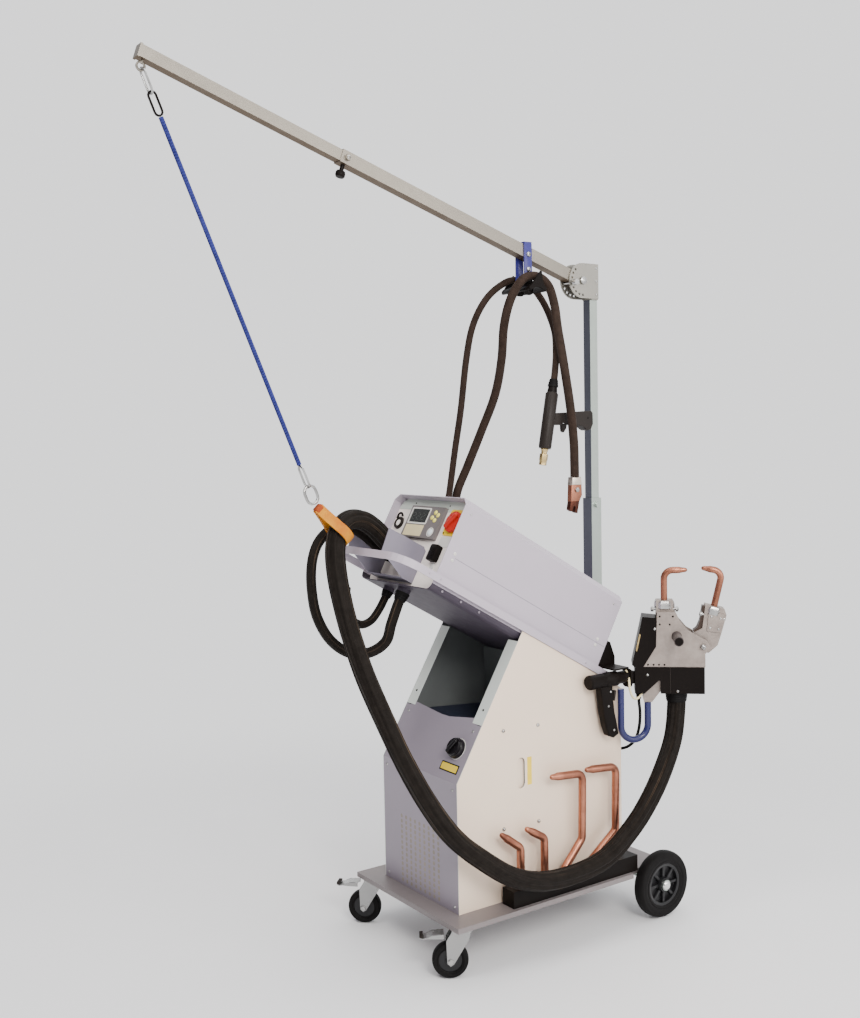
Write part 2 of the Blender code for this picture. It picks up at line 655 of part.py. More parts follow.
def make_hood():
    hood = plate("hood", [sheet_outline(hood_path(), SHEET)], BOX_LENGTH, (0, BOX_LENGTH / 2, 0),
                 FRONT_ON, PAINT_LILAC, BOX)
    back = plate("hood_back", [hood_path()], SHEET, (0, BOX_LENGTH - SHEET / 2, 0), FRONT_ON, None,
                 BOX)
    join(hood, back)
    for y, z in SOCKETS:
        socket = rod("cable_socket", 0.020, 0.022, (-BOX_WIDTH / 2 - 0.009, y, z), "x", None, BOX,
                     16)
        join(hood, socket)


def in_box(place):
    """(along, up) in the box's own frame of a machine point's (y, z)."""
    y, z = place[0] - BOX_ORIGIN[1], place[1] - BOX_ORIGIN[2]
    return (y * math.cos(BOX_TILT) - z * math.sin(BOX_TILT),
            y * math.sin(BOX_TILT) + z * math.cos(BOX_TILT))


SOCKETS = [in_box(route[0][1:]) for route in (STUD_ROUTE, EARTH_ROUTE)]


def make_front_plate():
    half = BOX_WIDTH / 2 - SHEET - GAP
    low, high = -TRAY_DEPTH + SHEET + GAP, HOOD_HEIGHT - SHEET - GAP
    bottom, top = 0.022, 0.033
    loop = (circle((half - bottom, low + bottom), bottom, 5, -math.pi / 2, math.pi / 2)
            + circle((half - top, high - top), top, 6, 0, math.pi / 2)
            + circle((top - half, high - top), top, 6, math.pi / 2, math.pi / 2)
            + circle((bottom - half, low + bottom), bottom, 5, math.pi, math.pi / 2))
    panel = plate("front_plate", [loop], SHEET, (0, PANEL_DEPTH + SHEET / 2, 0), FRONT_ON,
                  PAINT_CREAM, BOX)
    face = PANEL_DEPTH
    pieces = [block("switch_plate", (0.070, 0.004, 0.074), (0.125, face - 0.001, 0.160), None, BOX),
              block("power_socket", (0.034, 0.018, 0.046), (0.101, face - 0.008, 0.062), None, BOX),
              rod("data_socket", 0.017, 0.020, (-0.150, face - 0.009, 0.150), "y", None, BOX, 20)]
    for (x, z), radius in (((-0.045, 0.048), 0.034), ((-0.104, 0.040), 0.019)):
        pieces.append(rod("panel_gland", radius, 0.011, (x, face - 0.0045, z), "y", None, BOX, 20))
    join(panel, *pieces)


def make_display():
    face = PANEL_DEPTH - GAP
    module = block("display_module", (0.163, 0.012, 0.097), (-0.0125, face - 0.006, 0.1515),
                   GREY_PLASTIC, BOX)
    screen = block("screen_recess", (0.084, 0.004, 0.042), (-0.040, face - 0.012, 0.169), None, BOX)
    well = rod("button_well", 0.0110, 0.016, (0.044, face - 0.012, 0.122), "y", None, BOX, 16,
               collection=CUTTERS)
    cut(module, screen, well)
    rod("enter_button", 0.0098, 0.007, (0.044, face - 0.0115, 0.122), "y", WHITE_PLASTIC, BOX, 16)


def make_switch_knob():
    base = PANEL_DEPTH - 0.003 - GAP
    knob = turned("switch_knob", [(0.0, 0.022), (0.026, 0.022), (0.033, 0.018), (0.033, 0.0),
                                  (0.0, 0.0)], RED_PLASTIC, 24, (math.pi / 2, 0, 0),
                  (0.125, base, 0.160), BOX)
    handle = block("switch_handle", (0.016, 0.018, 0.058), (0.125, base - 0.029, 0.160), None, BOX,
                   (0, math.radians(38), 0))
    join(knob, handle)


def make_hose_guide():
    root = PANEL_DEPTH - GAP
    loop = [(-0.112, 0.074), (0.016, 0.077), (root, 0.068), (root, -0.030), (-0.010, -0.030),
            (-0.105, 0.008)]
    guide = plate("hose_guide", [loop], SHEET, (0.044, 0, 0), SIDE_ON, PAINT_LILAC, BOX)
    left = plate("guide_left", [loop], SHEET, (-0.132, 0, 0), SIDE_ON, None, BOX)
    floor = block("guide_floor", (0.177, root + 0.012, SHEET),
                  (-0.044, (root - 0.012) / 2, -0.029), None, BOX)
    join(guide, left, floor)


# ------------------------------------------------------------------ mast and boom
def square_tube(name, size, wall, length, centre, finish, parent=MACHINE, rotation=FLAT):
    outer, inner = size / 2, size / 2 - wall
    loops = [[(-h, -h), (h, -h), (h, h), (-h, h)] for h in (outer, inner)]
    return plate(name, loops, length, centre, rotation, finish, parent)


def make_mast():
    length = POST_TOP - CABINET_FLOOR
    post = square_tube("mast_post", POST_SIZE, POST_WALL, length,
                       (0, MAST_Y, CABINET_FLOOR + length / 2), ZINC)
    front = MAST_Y - POST_SIZE / 2
    pieces = []
    for z in (0.240, 0.560):
        pieces.append(block("post_bracket", (0.060, front - CABINET_REAR - GAP + 0.002, 0.050),
                            (0, (front + CABINET_REAR + GAP + 0.002) / 2, z), None))
    pieces.append(rod("clamp_nut", 0.010, 0.010, (0.0245, MAST_Y, POST_TOP - 0.020), "x", None,
                      sides=6))
    join(post, *pieces)
    square_tube("mast_tube", TUBE_SIZE, TUBE_WALL, TUBE_TOP - TUBE_BOTTOM,
                (0, MAST_Y, (TUBE_TOP + TUBE_BOTTOM) / 2), ZINC)


def pivot_plate_loops():
    """Round towards the front and straight at the rear, with a ring of index holes."""
    rear = MAST_Y + TUBE_SIZE / 2 - PIVOT[1]
    outer = circle((0, 0), PLATE_RADIUS, 17, math.pi / 2, math.pi)
    outer += [(rear, -PLATE_RADIUS), (rear, PLATE_RADIUS)]
    holes = [circle((INDEX_RADIUS * math.cos(a), INDEX_RADIUS * math.sin(a)), 0.0040, 8)
             for a in (index_angle(step) for step in range(-4, 4))]
    return [outer] + holes


def index_angle(step):
    """Of a hole of the ring, in the pivot plate's (y, z) plane; the boom rests on a pin in 0."""
    return math.radians(INDEX_ANGLE - 20.0 * step)


def make_mast_head():
    inner = BOOM_SIZE / 2 + 0.0006
    head = None
    for side in (1, -1):
        made = plate("mast_head" if head is None else "pivot_plate", pivot_plate_loops(),
                     PLATE_SHEET, (side * (inner + PLATE_SHEET / 2), PIVOT[1], PIVOT[2]), SIDE_ON,
                     ZINC)
        if head is None:
            head = made
        else:
            join(head, made)
    low = TUBE_TOP + GAP
    high = PIVOT[2] + PLATE_RADIUS - 0.001
    web = block("head_web", (2 * inner + 0.004, 0.028, high - low),
                (0, MAST_Y + 0.001, (low + high) / 2), None)
    bolt = rod("pivot_bolt", 0.006, 2 * inner + 0.020, PIVOT, "x", None, sides=16)
    heads = [rod("pivot_bolt_head", 0.010, 0.006, (side * (inner + 0.0065), *PIVOT[1:]), "x", None,
                 sides=6) for side in (-1, 1)]
    spigot = block("head_spigot", (0.0250, 0.0250, 0.040), (0, MAST_Y, low - 0.018), None)
    join(head, web, bolt, *heads, spigot)


def make_index_pin():
    angle = index_angle(0)
    y = PIVOT[1] + INDEX_RADIUS * math.cos(angle)
    z = PIVOT[2] + INDEX_RADIUS * math.sin(angle)
    pin = rod("index_pin", 0.0034, 0.056, (0.002, y, z), "x", STEEL, sides=12)
    knob = rod("index_knob", 0.009, 0.014, (0.0370, y, z), "x", None, sides=12)
    neck = rod("index_neck", 0.0055, 0.006, (0.0275, y, z), "x", None, sides=12)
    join(pin, neck, knob)


def make_boom():
    start = -0.014
    length = BOOM_LENGTH - start
    boom = square_tube("boom_tube", BOOM_SIZE, BOOM_WALL, length, (0, -(start + BOOM_LENGTH) / 2, 0),
                       ZINC, BOOM, FRONT_ON)
    cut(boom, rod("boom_bore", 0.0068, 0.060, (0, 0, 0), "x", None, BOOM, 16, collection=CUTTERS))
    join(boom, rod("boom_lock", 0.0085, 0.009, (BOOM_SIZE / 2 + 0.0035, 0.018 - BOOM_LENGTH, 0),
                   "x", None, BOOM, 8))
    length = EXTENSION_END - EXTENSION_START
    extension = square_tube("boom_extension", TUBE_SIZE, TUBE_WALL, length,
                            (0, -(EXTENSION_START + EXTENSION_END) / 2, 0), ZINC, BOOM, FRONT_ON)
    cap = block("boom_cap", (0.032, 0.006, 0.034), (0, -EXTENSION_END, 0), None, BOOM)
    shank = rod("eye_shank", 0.003, 0.012, (0, EYE_ALONG, -0.0185), "z", None, BOOM, 8)
    eye = tube("eye_ring", [(0, EYE_ALONG + 0.010 * math.cos(a), EYE_DROP + 0.010 * math.sin(a))
                            for a in (math.tau * k / 16 for k in range(16))],
               0.003, None, BOOM, 1, True)
    join(extension, cap, shank, mesh_from_curve(eye))


def in_boom(place):
    y, z = place[1] - PIVOT[1], place[2] - PIVOT[2]
    return (y * math.cos(BOOM_ANGLE) - z * math.sin(BOOM_ANGLE),
            y * math.sin(BOOM_ANGLE) + z * math.cos(BOOM_ANGLE))


EYE_ALONG, EYE_DROP = in_boom(EYE)


def make_cable_bracket():
    """Two cheeks bolted to the boom's sides, and under them an arch that the cables lie over."""
    y, top, arch_z, arch_radius = 0.468, 2.0255, 1.862, 0.042
    outer = circle((y, arch_z), arch_radius, 13, 0.0, math.pi)
    inner = circle((y, arch_z), arch_radius - 0.005, 13, math.pi, -math.pi)
    bracket = plate("cable_bracket", [outer + inner], 0.128, (0, 0, 0), SIDE_ON, PAINT_BLUE)
    inside = BOOM_SIZE / 2 + GAP
    pieces = []
    for side in (-1, 1):
        pieces.append(block("bracket_cheek", (0.004, 0.028, top - arch_z - 0.030),
                            (side * (inside + 0.002), y, (top + arch_z + 0.030) / 2), None))
        horn = circle((y, arch_z), arch_radius + 0.001, 13, 0.0, math.pi)
        horn += [(y - 0.030, arch_z - 0.012), (y + 0.030, arch_z - 0.012)]
        horn[4:9] = [(y + 0.020, arch_z + 0.050), (y + 0.010, arch_z + 0.086),
                     (y - 0.010, arch_z + 0.086), (y - 0.020, arch_z + 0.050)]
        pieces.append(plate("saddle_horn", [horn], 0.005, (side * 0.0635, 0, 0), SIDE_ON, None))
    pieces.append(block("bracket_top", (2 * inside + 0.008, 0.028, 0.004),
                        (0, y, top + 0.002 - 0.001), None))
    join(bracket, *pieces)


# ------------------------------------------------------------------ rope, hooks and sling
def link_points(start, end, half, across, bend=6):
    """A closed loop of two straight sides and two round ends, along start to end."""
    along = (end - start).normalized()
    points = []
    for centre, direction in ((end - along * half, along), (start + along * half, -along)):
        for index in range(bend + 1):
            angle = math.pi * index / bend
            points.append(centre + across * (half * math.cos(angle)) * (1 if direction == along
                          else -1) + direction * (half * math.sin(angle)))
    return points


def make_hanger():
    start, end = Vector(EYE), Vector(SLING_TOP)
    along = (end - start).normalized()
    sideways = Vector((1, 0, 0))
    sideways = (sideways - along * sideways.dot(along)).normalized()
    front = along.cross(sideways)
    total = (end - start).length

    def at(distance):
        return start + along * distance

    tube("top_carabiner", link_points(at(0.0036), at(0.066), 0.012, sideways), 0.003, STEEL,
         closed=True, resolution=1)
    tube("rope_clip", link_points(at(0.0594), at(0.118), 0.010, front), 0.003, BLACK_PLASTIC,
         closed=True, resolution=1)
    rope = [at(0.1214 + share * (total - 0.118 - 0.1214) / 8) for share in range(9)]
    tube("balancer_rope", rope, ROPE_RADIUS, ROPE_BLUE)
    lower = mesh_from_curve(tube("lower_carabiner",
                                 link_points(at(total - 0.1145), at(total - 0.052), 0.012,
                                             sideways), 0.0032, STEEL, closed=True, resolution=1))
    finish_object(lower, STEEL, MACHINE)
    shackle = mesh_from_curve(tube("shackle", link_points(at(total - 0.056), at(total - 0.0045),
                                                          0.017, front), 0.0040, None, closed=True,
                                   resolution=1))
    CUTTERS.objects.link(shackle)
    join(lower, shackle)


def make_sling():
    """A leather strap round the hose pack, drawn together at the top where the shackle pulls it."""
    bottom = circle((0, 0), SLING_RADIUS, 13, math.radians(160), math.radians(220))
    path = [(-0.004, SLING_HEIGHT)] + bottom + [(0.004, SLING_HEIGHT)]
    sling = plate("hose_sling", [sheet_outline(path, 0.004)], SLING_WIDTH, SLING_CENTRE,
                  (math.pi / 2 + SLING_TILT, 0, 0), LEATHER)
    low, high = SLING_HEIGHT - 0.016, SLING_HEIGHT + 0.004
    tab = plate("sling_tab", [[(-0.009, low), (0.009, low), (0.009, high), (-0.009, high)]],
                0.022, SLING_CENTRE, (math.pi / 2 + SLING_TILT, 0, 0), None)
    join(sling, tab)


# ------------------------------------------------------------------ stud gun and earth clamp
def make_stud_gun():
    x = 0.075
    top, bottom = Vector((x, 0.508, 1.583)), Vector((x, 0.477, 1.419))
    axis = (top - bottom).normalized()
    tilt = (-math.atan2(axis.y, axis.z), 0, 0)
    gun = rod("stud_gun", 0.0185, (top - bottom).length, (top + bottom) / 2, tilt, BLACK_PLASTIC,
              sides=16)
    loop = [(0.505, 1.523), (0.650, 1.527), (0.656, 1.482), (0.632, 1.471), (0.612, 1.488),
            (0.500, 1.488)]
    grip = plate("stud_grip", [loop], 0.030, (x, 0, 0), SIDE_ON, None)
    collar = rod("stud_collar", 0.0125, 0.020, top + axis * 0.008, tilt, None, sides=16)
    tip = rod("stud_tip", 0.011, 0.049, bottom - axis * 0.0235, tilt, None, sides=12)
    join(gun, grip, collar, tip)
    cut(gun, block("trigger_pocket", (0.012, 0.027, 0.010), (x, 0.551, 1.4915), None))
    loop = [(0.5405, 1.4925), (0.5615, 1.4925), (0.558, 1.478), (0.548, 1.466), (0.542, 1.470)]
    plate("stud_trigger", [loop], 0.010, (x, 0, 0), SIDE_ON, GREY_PLASTIC)


def make_earth_clamp():
    x, y = 0.112, 0.560
    loop = [(y - 0.019, 1.334), (y + 0.019, 1.334), (y + 0.022, 1.280), (y + 0.012, 1.262),
            (y + 0.003, 1.226), (y - 0.006, 1.230), (y - 0.004, 1.246), (y - 0.011, 1.250),
            (y - 0.018, 1.232), (y - 0.027, 1.238), (y - 0.022, 1.262)]
    clamp = plate("earth_clamp", [[(u, v - 0.0003) for u, v in loop]], 0.016, (x, 0, 0), SIDE_ON,
                  COPPER)
    bolt = rod("clamp_bolt", 0.008, 0.030, (x, y, 1.296), "x", None, sides=6)
    join(clamp, bolt)


# ------------------------------------------------------------------ spare arms and their holder
def make_arm_holder():
    low, high = CABINET_FLOOR, 0.202
    holder = block("arm_holder", (0.050, 0.474, high - low), (SPARE_X, 0.437, (low + high) / 2),
                   BLACK_PLASTIC)
    for y in SPARE_FEET:
        cut(holder, rod("arm_socket", SPARE_RADIUS + 0.001, 0.060, (SPARE_X, y, 0.208), "z", None,
                        sides=12, collection=CUTTERS))


SPARE_FEET = (0.246, 0.333, 0.405, 0.505)
SPARE_SHAPES = (
    ((0.246, 0.311), (0.175, 0.365)),
    ((0.333, 0.321), (0.264, 0.362)),
    ((0.405, 0.212), (0.476, 0.288), (0.480, 0.480), (0.357, 0.490)),
    ((0.505, 0.212), (0.609, 0.285), (0.612, 0.476), (0.490, 0.487)),
)


def make_spare_arms():
    for number, (foot, shape) in enumerate(zip(SPARE_FEET, SPARE_SHAPES), start=1):
        points = [(SPARE_X, foot, 0.1785)] + [(SPARE_X, y, z) for y, z in shape]
        radii = [0.020] + [0.024] * (len(points) - 3)
        tube(f"spare_arm_{number}", rounded(points, radii, 4), SPARE_RADIUS, COPPER)


# ------------------------------------------------------------------ pincer gun
def gun_plate(name, loop, low, high, finish, holes=()):
    """An outline in the gun's own (along, up) plane, from x = low to x = high across it."""
    return plate(name, [loop, *holes], high - low, ((low + high) / 2, 0, 0), SIDE_ON, finish, GUN)


def make_gun_frame():
    loop = [(0.049, 0.766), (0.229, 0.766), (0.229, 0.806), (0.247, 0.824), (0.232, 0.846),
            (0.179, 0.876), (0.156, 0.903), (0.143, 0.930), (0.089, 0.930), (0.086, 0.827)]
    near = gun_plate("gun_frame", loop, -0.004, 0.0, ALUMINIUM)
    far = gun_plate("frame_far", loop, GUN_BACK, GUN_BACK + 0.004, None)
    spacer = block("frame_spacer", (0.076, 0.046, 0.040), (-0.039, 0.116, 0.907), None, GUN)
    socket = block("arm_clamp", (0.046, 0.050, 0.036), (-0.039, 0.1125, 0.944), None, GUN)
    pin = rod("arm_pin", 0.006, 0.090, (-0.039, *GUN_PIVOT), "x", None, GUN, 16)
    brace = block("frame_brace", (0.076, 0.012, 0.030), (-0.039, 0.075, 0.785), None, GUN)
    handle = rod("side_handle", 0.0125, 0.090, (0.043, 0.146, 0.858), "x", None, GUN, 16)
    join(near, far, spacer, socket, pin, brace, handle)


def make_gun_body():
    loop = [(0.023, 0.686), (0.052, 0.686), (0.093, 0.725), (0.099, 0.725), (0.099, 0.686),
            (0.227, 0.686), (0.227, 0.7657), (0.0484, 0.7657), (0.0852, 0.827), (0.0879, 0.912),
            (0.046, 0.916), (0.015, 0.771), (0.023, 0.764)]
    body = gun_plate("gun_body", loop, -0.078, 0.002, BLACK_PLASTIC)
    neck = block("gun_neck", (0.026, 0.034, 0.036), (0.213, 0.6785, 0.733), None)
    join(body, neck)


def make_gun_cylinder():
    loop = [(0.0563, 0.6895), (0.0930, 0.7244), (0.0986, 0.7244), (0.0986, 0.690),
            (0.074, 0.657), (0.050, 0.657), (0.046, 0.672)]
    shell = [(u, v - 0.0003) for u, v in loop]
    gun_plate("gun_cylinder", shell, -0.062, -0.014, ALUMINIUM)


def make_gun_arm():
    loop = [(0.203, 0.812), (0.240, 0.806), (0.266, 0.829), (0.277, 0.865), (0.292, 0.919),
            (0.286, 0.937), (0.231, 0.950), (0.222, 0.880), (0.196, 0.866)]
    hole = circle(GUN_PIVOT, 0.0068, 16)
    gun_plate("gun_arm", loop, -0.063, -0.015, STEEL, [hole])


def make_electrodes():
    x = -0.039
    fixed = [(x, 0.112, 0.9623), (x, 0.112, 1.050), (x, 0.181, 1.051)]
    tube("fixed_electrode", rounded(fixed, [0.026], 6), ARM_RADIUS, COPPER, GUN)
    top = Vector((0.231, 0.950)).lerp(Vector((0.286, 0.937)), 0.5)
    out = Vector((0.013, 0.055)).normalized()
    base = top + out * GAP
    bend = top + out * 0.106
    moving = [(x, base.x, base.y), (x, bend.x, bend.y), (x, 0.221, 1.057)]
    tube("moving_electrode", rounded(moving, [0.024], 6), ARM_RADIUS, COPPER, GUN)


def make_gun_grip():
    loop = [(0.513, 0.762), (0.513, 0.717), (0.536, 0.711), (0.544, 0.704), (0.578, 0.568),
            (0.622, 0.576), (0.604, 0.668), (0.600, 0.7030), (0.6612, 0.7030), (0.6612, 0.7640),
            (0.530, 0.7640)]
    plate("gun_grip", [loop], 0.034, (GUN_ORIGIN[0], 0, 0), SIDE_ON, BLACK_PLASTIC)
    loop = [(0.611, 0.7025), (0.620, 0.7025), (0.618, 0.690), (0.614, 0.672), (0.609, 0.673)]
    plate("gun_trigger", [loop], 0.010, (GUN_ORIGIN[0], 0, 0), SIDE_ON, GREY_PLASTIC)


def make_gun_bow():
    """The blue tube that guards the trigger, from the grip to the cylinder."""
    left, right = Vector((0.213, 0.643, 0)), Vector((0.2407, 0.7265, 0))
    middle = (left + right) / 2
    half = (right - left) / 2
    round_z = 0.590
    points = [left + Vector((0, 0, 0.7025))]
    for index in range(13):
        angle = math.pi * index / 12
        points.append(middle - half * math.cos(angle)
                      + Vector((0, 0, round_z - half.length * math.sin(angle))))
    points.append(right + Vector((0, 0, 0.6562)))
    tube("gun_bow", points, 0.010, PAINT_BLUE, resolution=3)


def make_gun_support():
    """A black steel strut from the hood's back that carries the gun by its grip."""
    loop = [(0.5975, 0.7945), (0.6275, 0.8475), (0.650, 0.835), (0.668, 0.790), (0.668, 0.7643),
            (0.598, 0.7643)]
    strut = plate("gun_support", [loop], 0.005, (0.1600, 0, 0), SIDE_ON, BLACK_PLASTIC)
    shelf = block("support_shelf", (0.072, 0.058, 0.0047), (0.1940, 0.631, 0.76665), None)
    join(strut, shelf)


# ------------------------------------------------------------------ free cords
def make_cords():
    cord("hose_pack", HOSE_ROUTE, HOSE_RADIUS, TEXTILE, 0.056, 3)
    cord("return_hose", RETURN_ROUTE, RETURN_RADIUS, TEXTILE, 0.036)
    cord("return_hose_small", SMALL_RETURN_ROUTE, SMALL_RETURN_RADIUS, TEXTILE, 0.028)
    cord("stud_cable", STUD_ROUTE, STUD_CABLE_RADIUS, CABLE_TEXTILE, 0.048)
    cord("earth_cable", EARTH_ROUTE, EARTH_CABLE_RADIUS, CABLE_TEXTILE, 0.055)
    cord("gun_control_cable", CONTROL_ROUTE, CONTROL_RADIUS, RUBBER, 0.020)


def main():
    make_platform()
    make_rear_axle()
    make_rear_wheels()
    for side, hand in ((1, "right"), (-1, "left")):
        make_castor(side, hand)
    make_side_panels()
    make_front_panel()
    make_rear_panel()
    make_storage_bin()
    make_transformer()
    make_regulator_knob()
    make_box_tray()
    make_hood()
    make_front_plate()
    make_display()
    make_switch_knob()
    make_hose_guide()
    make_mast()
    make_mast_head()
    make_index_pin()
    make_boom()
    make_cable_bracket()
    make_hanger()
    make_sling()
    make_stud_gun()
    make_earth_clamp()
    make_arm_holder()
    make_spare_arms()
    make_gun_frame()
    make_gun_body()
    make_gun_cylinder()
    make_gun_arm()
    make_electrodes()
    make_gun_grip()
    make_gun_bow()
    make_gun_support()
    make_cords()


main()
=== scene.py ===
"""Looks of the mobile spot welder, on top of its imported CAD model.

Places are in the machine frame of part.py: x = 0 is the middle of the machine, y = 0 is the front
edge of the platform, z = 0 is the floor, in metres. MACHINE moves them to the model's own frame.
"""
import math

import bmesh
import bpy
from mathutils import Matrix, Vector


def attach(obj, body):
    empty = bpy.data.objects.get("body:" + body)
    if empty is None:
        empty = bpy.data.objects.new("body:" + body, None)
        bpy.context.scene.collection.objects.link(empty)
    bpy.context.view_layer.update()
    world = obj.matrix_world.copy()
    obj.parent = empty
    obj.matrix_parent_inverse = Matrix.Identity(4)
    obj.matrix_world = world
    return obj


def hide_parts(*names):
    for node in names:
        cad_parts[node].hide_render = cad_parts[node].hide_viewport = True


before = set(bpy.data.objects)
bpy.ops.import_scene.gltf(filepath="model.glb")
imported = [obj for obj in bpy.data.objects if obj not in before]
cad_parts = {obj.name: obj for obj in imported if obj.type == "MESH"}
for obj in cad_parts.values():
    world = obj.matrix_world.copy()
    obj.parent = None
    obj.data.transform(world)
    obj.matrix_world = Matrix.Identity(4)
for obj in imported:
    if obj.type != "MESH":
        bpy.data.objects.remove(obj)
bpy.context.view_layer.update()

# ------------------------------------------------------------------ places, as in part.py
ORIGIN_SHIFT = Vector((-0.0397, -0.1077, 0.0))
BOX_TILT = math.radians(29.5)
BOX_ORIGIN = Vector((0.0, 0.0078, 1.0977))
BOX_WIDTH = 0.354
PANEL_FACE = 0.028
CABINET_WIDTH = 0.372
CABINET_FRONT = 0.056
KNEE_Z = 0.518
SLOPE = math.radians(31.0)
GUN_ORIGIN = Vector((0.213, 0.669, 0.0))
GUN_YAW = math.radians(-42.5)
PIVOT = Vector((0.0, 0.682, 1.928))
BOOM_ANGLE = math.radians(18.4)
AXLE = (0.756, 0.1)
WHEEL_X = 0.262
GAP = 0.0003


def moved(matrix, *step):
    return matrix @ Matrix.Translation(step)


MACHINE = Matrix.Translation(ORIGIN_SHIFT)
BOX = MACHINE @ Matrix.Translation(BOX_ORIGIN) @ Matrix.Rotation(-BOX_TILT, 4, "X")
GUN = MACHINE @ Matrix.Translation(GUN_ORIGIN) @ Matrix.Rotation(GUN_YAW, 4, "Z")
BOOM = MACHINE @ Matrix.Translation(PIVOT) @ Matrix.Rotation(-BOOM_ANGLE, 4, "X")
# drawing planes: their x and y lie on the surface and their z points out of it
FRONT_PLANE = Matrix(((1, 0, 0, 0), (0, 0, -1, 0), (0, 1, 0, 0), (0, 0, 0, 1)))
RIGHT_PLANE = Matrix(((0, 0, 1, 0), (1, 0, 0, 0), (0, 1, 0, 0), (0, 0, 0, 1)))
LEFT_PLANE = Matrix(((0, 0, -1, 0), (1, 0, 0, 0), (0, -1, 0, 0), (0, 0, 0, 1)))
PANEL = moved(BOX, 0, PANEL_FACE, 0) @ FRONT_PLANE
SLOPE_FACE = moved(MACHINE, 0, CABINET_FRONT, KNEE_Z) @ Matrix.Rotation(-SLOPE, 4, "X") @ FRONT_PLANE
FRONT_FACE = moved(MACHINE, 0, CABINET_FRONT, 0) @ FRONT_PLANE
RIGHT_FACE = moved(MACHINE, CABINET_WIDTH / 2, 0, 0) @ RIGHT_PLANE
LEFT_FACE = moved(MACHINE, -CABINET_WIDTH / 2, 0, 0) @ LEFT_PLANE
HOOD_RIGHT = moved(BOX, BOX_WIDTH / 2, 0, 0) @ RIGHT_PLANE
HOOD_LEFT = moved(BOX, -BOX_WIDTH / 2, 0, 0) @ LEFT_PLANE
HANDS = ((1, "right"), (-1, "left"))

# ------------------------------------------------------------------ cords, as in part.py
HOSE_ROUTE = (
    (0.284, 0.803, 0.6857), (0.284, 0.803, 0.64), (0.29, 0.782, 0.547), (0.302, 0.73, 0.469),
    (0.3, 0.674, 0.387), (0.293, 0.606, 0.31), (0.289, 0.514, 0.246), (0.286, 0.408, 0.223),
    (0.284, 0.28, 0.226), (0.279, 0.178, 0.26), (0.268, 0.085, 0.323), (0.248, 0.001, 0.399),
    (0.217, -0.056, 0.491), (0.177, -0.106, 0.607), (0.136, -0.139, 0.717), (0.091, -0.17, 0.834),
    (0.05, -0.185, 0.938), (0.02, -0.193, 1.03), (0.003, -0.197, 1.1),
    (-0.011, -0.193, 1.162), (-0.023, -0.175, 1.21), (-0.034, -0.138, 1.237),
    (-0.04, -0.092, 1.237), (-0.043, -0.05, 1.213), (-0.044, -0.012, 1.176),
    (-0.045, 0.02, 1.1459), (-0.045, 0.0468, 1.1308),
)
RETURN_ROUTE = (
    (-0.104, 0.0428, 1.1238), (-0.104, 0.0188, 1.1374), (-0.104, -0.012, 1.16),
    (-0.103, -0.05, 1.19), (-0.101, -0.092, 1.211), (-0.097, -0.135, 1.214),
    (-0.092, -0.175, 1.2), (-0.086, -0.208, 1.168), (-0.083, -0.226, 1.118),
    (-0.088, -0.225, 1.049), (-0.093, -0.208, 0.973), (-0.085, -0.172, 0.905),
    (-0.062, -0.125, 0.866), (-0.032, -0.076, 0.866), (-0.006, -0.04, 0.896),
    (0.006, -0.029, 0.945), (0.014, -0.01, 1.0013), (0.014, 0.0064, 1.0302),
)
SMALL_RETURN_ROUTE = (
    (-0.018, -0.155, 1.055), (-0.036, -0.15, 1.01), (-0.052, -0.125, 0.965),
    (-0.064, -0.085, 0.941), (-0.074, -0.045, 0.947), (-0.08, -0.014, 0.974),
    (-0.082, 0.0084, 1.0054), (-0.082, 0.0186, 1.0233),
)
STUD_ROUTE = (
    (-0.1973, 0.33, 1.08), (-0.212, 0.33, 1.08), (-0.236, 0.332, 1.098),
    (-0.248, 0.336, 1.15), (-0.246, 0.344, 1.225), (-0.235, 0.35, 1.285),
    (-0.22, 0.365, 1.418), (-0.19, 0.368, 1.541), (-0.15, 0.361, 1.691),
    (-0.115, 0.363, 1.793), (-0.08, 0.391, 1.871), (-0.048, 0.436, 1.915),
    (-0.04, 0.478, 1.923), (-0.04, 0.522, 1.915), (-0.04, 0.557, 1.886),
    (-0.012, 0.567, 1.838), (0.03, 0.56, 1.768), (0.06, 0.538, 1.7),
    (0.075, 0.5189, 1.6403), (0.075, 0.5114, 1.6012),
)
EARTH_ROUTE = (
    (-0.1973, 0.4, 1.04), (-0.215, 0.4, 1.04), (-0.245, 0.4, 1.062),
    (-0.259, 0.397, 1.125), (-0.254, 0.388, 1.21), (-0.235, 0.38, 1.283),
    (-0.2, 0.399, 1.371), (-0.16, 0.425, 1.478), (-0.11, 0.439, 1.584),
    (-0.07, 0.434, 1.687), (-0.022, 0.408, 1.785), (0.02, 0.403, 1.862),
    (0.036, 0.437, 1.916), (0.042, 0.484, 1.926), (0.044, 0.525, 1.902),
    (0.05, 0.543, 1.845), (0.074, 0.534, 1.77), (0.098, 0.532, 1.68),
    (0.113, 0.546, 1.54), (0.116, 0.555, 1.44), (0.112, 0.56, 1.375),
    (0.112, 0.56, 1.3342),
)
CONTROL_ROUTE = (
    (0.222, 0.7083, 0.6857), (0.222, 0.7083, 0.66), (0.222, 0.713, 0.618),
    (0.213, 0.716, 0.57), (0.194, 0.718, 0.532), (0.17, 0.712, 0.508),
    (0.152, 0.698, 0.5), (0.15, 0.6805, 0.5),
)
EYE = Vector((0.0, -0.6985, 2.3545))
SLING_TOP = Vector((-0.018, -0.246, 1.286))
SLING_CENTRE = Vector((-0.0205, -0.173, 1.209))
SLING_TILT = math.radians(43.0)


